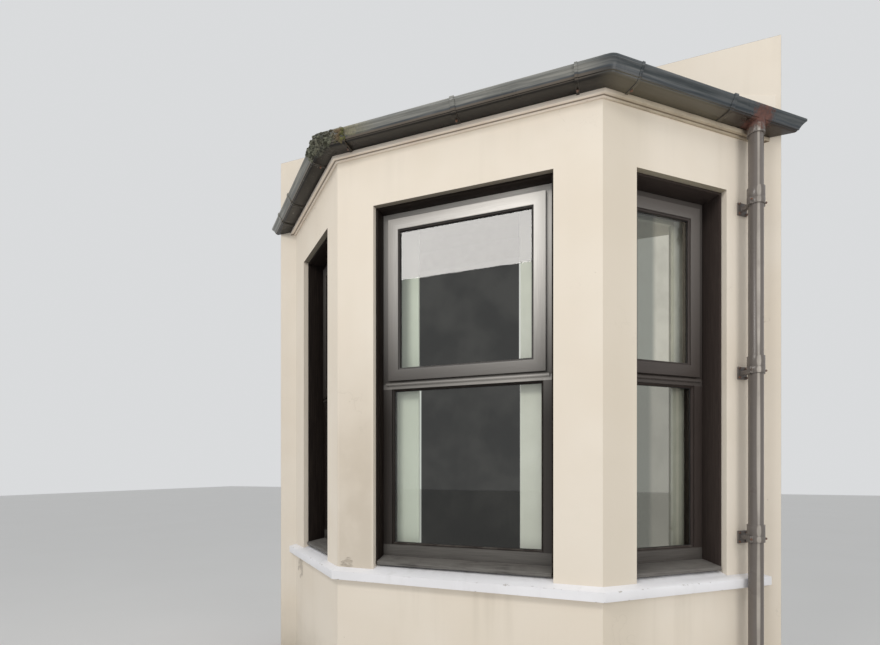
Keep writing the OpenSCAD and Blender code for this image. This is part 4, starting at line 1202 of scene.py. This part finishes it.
class BuildWindow(bpy.types.Operator):
    """Moulded frame, transom, timber sill and top-hung sash of one window"""

    bl_idname = "bay.window"
    bl_label = "Window"

    side: bpy.props.EnumProperty(name="Side", description="Side of the bay", items=[
        (side, side.capitalize(), "The window in the %s side" % side) for side in SIDES])

    def execute(self, context):
        matrix, opening, back = SIDES[self.side]
        front = self.side == "front"
        light = opening - 2 * FRAME_W
        low, high = TRANSOM_Z + TRANSOM_H - SASH_LAP, HEAD_Z - FRAME_W + SASH_LAP

        # The frame's painted sheen: strong on the front window, faint on the sides.
        brown = brown_finish(self.side + "_frame_timber", 0.8 if front else 0.08, back, gloss=0.12)
        joinery = window_frame(opening, back, sizes().timber_arris).mesh("joinery", matrix)
        piece = add_piece(self.side + "_window_joinery", joinery, brown)
        brown = brown_finish(self.side + "_sill_timber", grey=0.75)
        board = timber_sill(opening, back).mesh("timber_sill", matrix)
        sill = add_piece(self.side + "_timber_sill", board, brown)
        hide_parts(self.side + "_window_frame")
        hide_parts(self.side + "_window_frame")

        sash = Joinery()
        sash.ring(light + 2 * SASH_LAP, low, high, in_metres(SASH_SECTION, back - SASH_STEP))
        # Strength of the sash's painted sheen.
        sheen = 0.92 if front else 0.12
        brown = brown_finish(self.side + "_sash_timber", sheen, back - SASH_STEP)
        piece = add_piece(self.side + "_sash_joinery", sash.mesh("sash", matrix), brown)
        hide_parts(self.side + "_sash")

        rubber = Joinery()
        fixed, hung = ([back + y for y in pane] for pane in (FIXED_PANE, SASH_PANE))
        rubber.ring(light - 2 * RUBBER_EDGE, FRAME_Z + FRAME_W + RUBBER_EDGE, TRANSOM_Z - RUBBER_EDGE,
                    rounded(0, RUBBER_W, *fixed, RUBBER_ARRIS))
        inner = SASH_SIGHT + RUBBER_EDGE
        rubber.ring(light + 2 * SASH_LAP - 2 * inner, low + inner, high - inner,
                    rounded(0, RUBBER_W, *hung, RUBBER_ARRIS))
        piece = add_piece(self.side + "_glazing_rubber", rubber.mesh("rubber", matrix), gasket_finish())
        return {"FINISHED"}


class BuildBoards(bpy.types.Operator):
    """Lining boards in the reveals, and casings and window boards inside"""

    bl_idname = "bay.boards"
    bl_label = "Linings, casings and window boards"

    def execute(self, context):
        linings, casings, boards = Joinery(), Joinery(), Joinery()
        for matrix, opening, back in SIDES.values():
            half = opening / 2
            board = (LINING_FACE, back, LINING_ARRIS)
            linings.jambs(FRAME_SILL_Z, HEAD_Z, half - LINING_T, half, *board)
            linings.lying(half - LINING_T, rounded(*board[:2], HEAD_Z - LINING_T, HEAD_Z, LINING_ARRIS))
            linings.placed(matrix)

            start = back + FRAME_DEPTH
            board = (start, start + CASING_T, CASING_ARRIS)
            foot, head = FRAME_SILL_Z + SILL_BOARD_T, HEAD_Z - CASING_HEAD
            casings.jambs(foot, head, half - CASING_WIDTHS[opening], half, *board)
            casings.lying(half, rounded(*board[:2], head, HEAD_Z, CASING_ARRIS))
            casings.placed(matrix)

            nose = BAY_WALL + SILL_BOARD_NOSE
            boards.lying(half, rounded(start, nose, FRAME_SILL_Z, foot, SILL_BOARD_ARRIS))
            boards.placed(matrix)
        brown = brown_finish("lining_timber", gloss=0.03)
        piece = add_piece("lining_boards", linings.mesh("linings"), brown)
        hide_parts("window_linings")
        white = white_paint_finish()
        piece = add_piece("casing_boards", casings.mesh("casings"), white)
        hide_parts("inner_casings")
        piece = add_piece("sill_boards", boards.mesh("boards"), white)
        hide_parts("window_boards")
        return {"FINISHED"}


class BuildGlass(bpy.types.Operator):
    """Glass in the windows"""

    bl_idname = "bay.glass"
    bl_label = "Glass"

    def execute(self, context):
        for side, (matrix, opening, back) in SIDES.items():
            way = (matrix.to_3x3() @ Vector((1, 0, 0)))[:]
            dress(glass_finish(side, matrix.translation[:], way), side + "_glass")
        return {"FINISHED"}


class BuildFloor(bpy.types.Operator):
    """Floor boards of the bay, laid along the house wall with staggered joints"""

    bl_idname = "bay.floor"
    bl_label = "Floor boards"

    def execute(self, context):
        tree = courses_tree()
        wood = floor_finish()
        thick = sizes().board_thickness
        whole = bmesh.new()
        inner = corner(-BAY_WALL)
        for y0, y1, rows in ((inner.y, 0.0, 4), (0.0, HOUSE_WALL, 3)):
            step = (y1 - y0) / rows
            mesh = grown(tree, bpy.data.meshes.new("seed"), {
                "Width": sizes().board_length, "Length": step - BOARD_GAP, "Thickness": thick,
                "Gap": 0.001, "Step": step, "Columns": 4, "Courses": rows, "Bond": BOARD_BOND,
                "Material": wood})
            mesh.transform(Matrix.Translation((BOARD_SHIFT, y0 + BOARD_GAP / 2, FLOOR_Z - thick)))
            bm = working(mesh)
            for sign in (-1, 1):
                if y1 > 0:
                    cut_away(bm, (sign * ROOM_HALF, 0, 0), (sign, 0, 0))
                else:
                    normal = (sign * math.sin(SPLAY), -math.cos(SPLAY), 0)
                    cut_away(bm, (sign * inner.x, inner.y, 0), normal)
            whole.from_mesh(mesh_of(bm, "part"))
        piece = add_piece("laid_floor_boards", mesh_of(whole, "floor"), wood)
        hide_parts("floor_boards")
        return {"FINISHED"}


def fascia_end(start, sign):
    """Section of a fascia board where its run starts or ends."""
    outer, inner = start(FASCIA_OUT), start(FASCIA_OUT - FASCIA_T)
    low, high = WALL_HEAD_Z, WALL_HEAD_Z + FASCIA_H
    return [(sign * outer.x, outer.y, low), (sign * outer.x, outer.y, high),
            (sign * inner.x, inner.y, high), (sign * inner.x, inner.y, low)]


class BuildEaves(bpy.types.Operator):
    """Moulding under the gutter and the fascia boards behind it"""

    bl_idname = "bay.eaves"
    bl_label = "Eaves"

    def execute(self, context):
        paint = moulding_finish()
        soften("eaves_moulding", "rendered_eaves_moulding", sizes().moulding_arris, paint)
        fascia = Joinery()
        for sign in (-1, 1):
            fascia.member([fascia_end(corner, sign), fascia_end(at_wall, sign)])
        fascia.member([fascia_end(corner, sign) for sign in (-1, 1)])
        brown = brown_finish("fascia_timber", grey=0.4)
        piece = add_piece("fascia_joinery", fascia.mesh("fascia"), brown)
        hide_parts("fascia_boards")
        return {"FINISHED"}


def slope_matrix(base):
    """Slope frame of one side: x along the eaves, y up the slope, z off it, from the covering's foot."""
    foot = WALL_HEAD_Z + FASCIA_H + (FASCIA_OUT - EAVES_OUT) * math.tan(PITCH)
    return base @ Matrix.Translation((0, -EAVES_OUT, foot)) @ Matrix.Rotation(PITCH, 4, "X")


def trim_slope(bm, side):
    """Cut a slope's pieces at the hips and at the house wall."""
    lean = math.tan(SPLAY / 2)
    for sign in (1, -1):
        place, hip = (sign * HALF_FRONT, -PROJECTION, 0), Vector((sign, lean, 0))
        if side == "front":
            cut_away(bm, place, hip)
        elif (side == "right") == (sign == 1):
            cut_away(bm, place, -hip)
    cut_away(bm, (0, -0.0005, 0), (0, 1, 0))


class BuildSlates(bpy.types.Operator):
    """Slates in bond on battens over the three slopes"""

    bl_idname = "bay.slates"
    bl_label = "Slates"

    def execute(self, context):
        tree = courses_tree()
        slate = slate_finish()
        s = sizes()
        lift = s.slate_thickness * s.slate_length / s.slate_gauge
        run = (PROJECTION + EAVES_OUT) / math.cos(PITCH)
        courses = math.ceil((run - SLATE_START) / s.slate_gauge)
        # The slates, and the short slates that lie under the lowest course
        kinds = ((courses, s.slate_length, lift, 0.03), (1, UNDER_SLATE, lift - s.slate_thickness, 0.13))
        for side, base in BASES.items():
            slope = slope_matrix(base)
            whole = bmesh.new()
            for rows, long, height, shift in kinds:
                mesh = grown(tree, bpy.data.meshes.new("seed"), {
                    "Width": s.slate_width, "Length": long, "Thickness": s.slate_thickness,
                    "Gap": SLATE_GAP, "Step": s.slate_gauge, "Columns": 18, "Courses": rows, "Bond": 0.5,
                    "Fall": math.atan2(lift, s.slate_length), "Lift": s.batten_depth + height,
                    "Unevenness": 0.004, "Material": slate})
                mesh.transform(slope @ Matrix.Translation((shift, SLATE_START, 0)))
                whole.from_mesh(mesh)
            trim_slope(whole, side)
            bmesh.ops.recalc_face_normals(whole, faces=whole.faces)
            piece = add_piece(side + "_laid_slates", mesh_of(whole, side), slate)
            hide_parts(side + "_slates")

            battens = Joinery()
            for i in range(-2, courses):
                y = SLATE_START + s.slate_length - s.batten_width / 2 + s.slate_gauge * i
                if y < run - s.batten_width:
                    section = rounded(y, y + s.batten_width, 0.0003, s.batten_depth, 0.002)
                    battens.lying(BATTEN_REACH, section)
            rows = working(battens.mesh("rows", slope))
            trim_slope(rows, side)
            timber = bpy.data.materials["sawn_softwood"]
            piece = add_piece(side + "_slating_battens", mesh_of(rows, "battens"), timber)
        return {"FINISHED"}


def dress_down(bm):
    """Flatten the feet of the hip rolls onto the slates."""
    foot = corner(EAVES_OUT)
    for sign in (-1, 1):
        way = Vector((-sign * math.sin(SPLAY / 2), math.cos(SPLAY / 2), 0))
        start = Vector((sign * foot.x, foot.y, 0))
        for reach in (DRESS_REACH / 2, DRESS_REACH):
            place = start + way * reach
            parts = bm.verts[:] + bm.edges[:] + bm.faces[:]
            bmesh.ops.bisect_plane(bm, geom=parts, dist=CUT, plane_co=place, plane_no=way)
        for vert in bm.verts:
            if vert.co.x * sign > 0:
                gone = 1 - min(max((vert.co - start).dot(way) / DRESS_REACH, 0), 1)
                if gone > 0:
                    bed = slope_top(vert.co.x, vert.co.y)
                    vert.co.z = bed + (vert.co.z - bed) * (1 - DRESS_SHARE * gone)


def wall_reach(x, y):
    """Distance of a plan point out from the bay's faces."""
    behind = y + PROJECTION
    return max(-behind, (abs(x) - HALF_FRONT) * math.sin(SPLAY) - behind * math.cos(SPLAY))


def slope_top(x, y):
    """Level of the slates' face over a plan point."""
    return WALL_HEAD_Z + FASCIA_H + COVERING + (FASCIA_OUT - wall_reach(x, y)) * math.tan(PITCH)


class DressLead(bpy.types.Operator):
    """Lead rolls on the hips and lead flashing on the wall"""

    bl_idname = "bay.lead"
    bl_label = "Leadwork"

    def execute(self, context):
        lead = lead_finish()
        soften("hip_rolls", "lead_hip_rolls", sizes().lead_arris, lead, shape=dress_down)
        soften("wall_flashing", "lead_flashing", sizes().lead_arris, lead)
        return {"FINISHED"}


class BuildGutter(bpy.types.Operator):
    """Cast gutter, its corner fittings, straps, outlet and the downpipe with its brackets"""

    bl_idname = "bay.gutter"
    bl_label = "Gutter and downpipe"

    def execute(self, context):
        iron = iron_finish()
        names = {side + "_gutter": side + "_gutter_casting" for side in ("front", "left", "right")}
        names.update({
            "gutter_corners": "corner_castings", "gutter_straps": "strap_irons",
            "gutter_outlet": "outlet_casting", "downpipe": "downpipe_casting",
            "pipe_brackets": "bracket_castings",
        })
        for node, name in names.items():
            shape = bend if node == "gutter_corners" else None
            soften(node, name, sizes().iron_arris, iron, shape=shape)
        return {"FINISHED"}


class BuildFixings(bpy.types.Operator):
    """Bolts of the gutter's joints and of the pipe's brackets"""

    bl_idname = "bay.fixings"
    bl_label = "Fixings"

    def execute(self, context):
        pipe = ON_RIGHT @ Matrix.Translation((PIPE_S, -PIPE_OUT, 0))
        outward, down = (0, -1, 0), (0, 0, -1)
        points = []
        for height in BRACKET_HEIGHTS:
            z = height + BRACKET_H / 2
            for sign in (-1, 1):
                points.append((pipe, (sign * EAR_BOLT[0], EAR_BOLT[1], z), outward))
                for rise in (-FOOT_BOLT_RISE, FOOT_BOLT_RISE):
                    points.append((pipe, (sign * FOOT_BOLT[0], FOOT_BOLT[1], z + rise), outward))
        y, under = UNDER_BOLT
        for base, x, z in (
                (BASES["right"], STRAP_BOLT, under), (BASES["left"], STRAP_BOLT, under),
                (ON_FRONT, STRAP_BOLT - HALF_FRONT, under), (ON_FRONT, HALF_FRONT - STRAP_BOLT, under),
                (ON_FRONT, MIDDLE_BOLT[0], under + MIDDLE_BOLT[1])):
            points.append((base, (x, y, z), down))
        mesh = bpy.data.meshes.new("seats")
        mesh.from_pydata([matrix @ Vector(place) for matrix, place, _ in points], [], [])
        facing = mesh.attributes.new("facing", "FLOAT_VECTOR", "POINT")
        for item, (matrix, _, way) in zip(facing.data, points):
            item.vector = matrix.to_3x3() @ Vector(way)
        metal = bolt_finish()
        heads = grown(fixings_tree(), mesh, {
            "Radius": sizes().bolt_radius, "Height": 0.006, "Sides": 6, "Material": metal})
        piece = add_piece("bolt_heads", heads, metal)
        return {"FINISHED"}


class GrowMoss(bpy.types.Operator):
    """Moss and silt in the left end of the front gutter and heaped over its left corner"""

    bl_idname = "bay.moss"
    bl_label = "Moss"

    def execute(self, context):
        green = moss_finish()
        bed = bpy.data.meshes.new("bed")
        bed.from_pydata([(x, -PROJECTION - out, MOSS_Z) for x, out in MOSS_BED], [], [(0, 1, 2, 3)])
        whole = bmesh.new()
        whole.from_mesh(grown(tufts_tree(), bed, {
            "Density": 2600.0, "Radius": sizes().tuft_radius, "Seed": 7, "Material": green}))
        whole.from_mesh(grown(tufts_tree(), self.corner_skin(), {
            "Density": 7000.0, "Radius": 1.1 * sizes().tuft_radius, "Seed": 5, "Material": green}))
        piece = add_piece("gutter_moss", mesh_of(whole, "moss"), green)
        return {"FINISHED"}

    def corner_skin(self):
        """Upper outer faces of the left corner fitting, a little inside them."""
        bm = working(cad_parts["gutter_corners"].data)
        bmesh.ops.remove_doubles(bm, verts=bm.verts, dist=MERGE)
        floor = GUTTER_TOP_Z - 0.05
        spare = [face for face in bm.faces if face.calc_center_median().x > 0
                 or min(vert.co.z for vert in face.verts) < floor
                 or wall_reach(*face.calc_center_median().xy) < GUTTER_LIP - 0.035]
        bmesh.ops.delete(bm, geom=spare, context="FACES")
        for vert in bm.verts:
            vert.co.z -= 0.004
            vert.co.y += 0.004
        return mesh_of(bm, "skin")


def soft_lamp(scene, name, place, target, size, power, roll=0.0):
    """Rectangular lamp that lights a target and isn't seen itself."""
    lamp = bpy.data.lights.new(name, "AREA")
    lamp.shape = "RECTANGLE"
    lamp.size, lamp.size_y = size
    lamp.energy = power
    lamp.color = LAMP_TINT
    holder = bpy.data.objects.new(name, lamp)
    holder.location = place
    aim = Vector(target) - holder.location
    turn = aim.to_track_quat("-Z", "Y").to_matrix() @ Matrix.Rotation(roll, 3, "Z")
    holder.rotation_euler = turn.to_euler()
    holder.visible_camera = False
    holder.visible_transmission = False
    scene.collection.objects.link(holder)


def even_sky(light):
    """World that lights evenly and that the camera sees a little paler."""
    world = bpy.data.worlds.new("even_sky")
    world.use_nodes = True
    world.node_tree.nodes.clear()
    sky = Web(world.node_tree)
    even, seen = (sky.field("Background", {0: SKY_TINT, 1: strength})
                  for strength in (light.sky, light.backdrop))
    shown = sky.rays("Camera", "Glossy", "Transmission")
    sky.node("OutputWorld", {"Surface": sky.field("MixShader", {0: shown, 1: even, 2: seen})})
    return world


def level_camera():
    """Camera that stands level before the bay and is shifted up to it."""
    lens = bpy.data.cameras.new("camera")
    lens.sensor_width = 36.0
    lens.sensor_fit = "HORIZONTAL"
    lens.lens = CAMERA_LENS
    lens.shift_y = CAMERA_SHIFT
    lens.clip_end = 200.0
    camera = bpy.data.objects.new("camera", lens)
    camera.location = CAMERA_PLACE
    camera.rotation_euler = (math.radians(90), 0, CAMERA_TURN)
    return camera


class SetStage(bpy.types.Operator):
    """Plain floor, soft light and the camera"""

    bl_idname = "bay.stage"
    bl_label = "Stage"

    def execute(self, context):
        scene = context.scene
        light = scene.bay_light
        mesh = bpy.data.meshes.new("stage_floor")
        ways = ((-1, -1), (1, -1), (1, 1), (-1, 1))
        mesh.from_pydata([(u * STAGE_REACH, v * STAGE_REACH, 0) for u, v in ways], [], [(0, 1, 2, 3)])
        s = Finish("stage_floor")
        s.colour = s.mix(s.noise(0.8, 3.0), (0.73, 0.725, 0.71), (0.76, 0.755, 0.745))
        mesh.materials.append(s.close(0.9))
        floor = bpy.data.objects.new("stage_floor", mesh)
        scene.collection.objects.link(floor)

        scene.world = even_sky(light)
        soft_lamp(scene, "key_lamp", KEY_PLACE, KEY_TARGET, KEY_SIZE, light.key, KEY_ROLL)
        soft_lamp(scene, "side_lamp", SIDE_PLACE, SIDE_TARGET, SIDE_SIZE, light.side)
        scene.camera = level_camera()
        scene.collection.objects.link(scene.camera)
        scene.view_settings.view_transform = "Standard"
        return {"FINISHED"}


class BayPanel(bpy.types.Panel):
    """Lists the steps that dress the bay window"""

    bl_label = "Bay Window"
    bl_idname = "VIEW3D_PT_bay_window"
    bl_space_type = "VIEW_3D"
    bl_region_type = "UI"
    bl_category = "Bay Window"

    def draw(self, context):
        layout = self.layout
        for name, group in GROUPS.items():
            box = layout.box()
            for key in group.__annotations__:
                box.prop(getattr(context.scene, name), key)
        for step in STEPS:
            layout.operator(step.bl_idname)


STEPS = (DressWalls, DressSills, BuildWindow, BuildBoards, BuildGlass, BuildFloor, BuildEaves,
         BuildSlates, DressLead, BuildGutter, BuildFixings, GrowMoss, SetStage)
GROUPS = {"bay_colours": BayColours, "bay_sizes": BaySizes, "bay_light": BayLight}
CLASSES = (*GROUPS.values(), *STEPS, BayPanel)


def register():
    for cls in CLASSES:
        bpy.utils.register_class(cls)
    for name, group in GROUPS.items():
        setattr(bpy.types.Scene, name, bpy.props.PointerProperty(type=group))


def unregister():
    for name in GROUPS:
        delattr(bpy.types.Scene, name)
    for cls in reversed(CLASSES):
        bpy.utils.unregister_class(cls)


def main():
    register()
    for step in STEPS:
        group, action = step.bl_idname.split(".")
        run = getattr(getattr(bpy.ops, group), action)
        if step is BuildWindow:
            for side in SIDES:
                run(side=side)
        else:
            run()


if __name__ == "__main__":
    main()
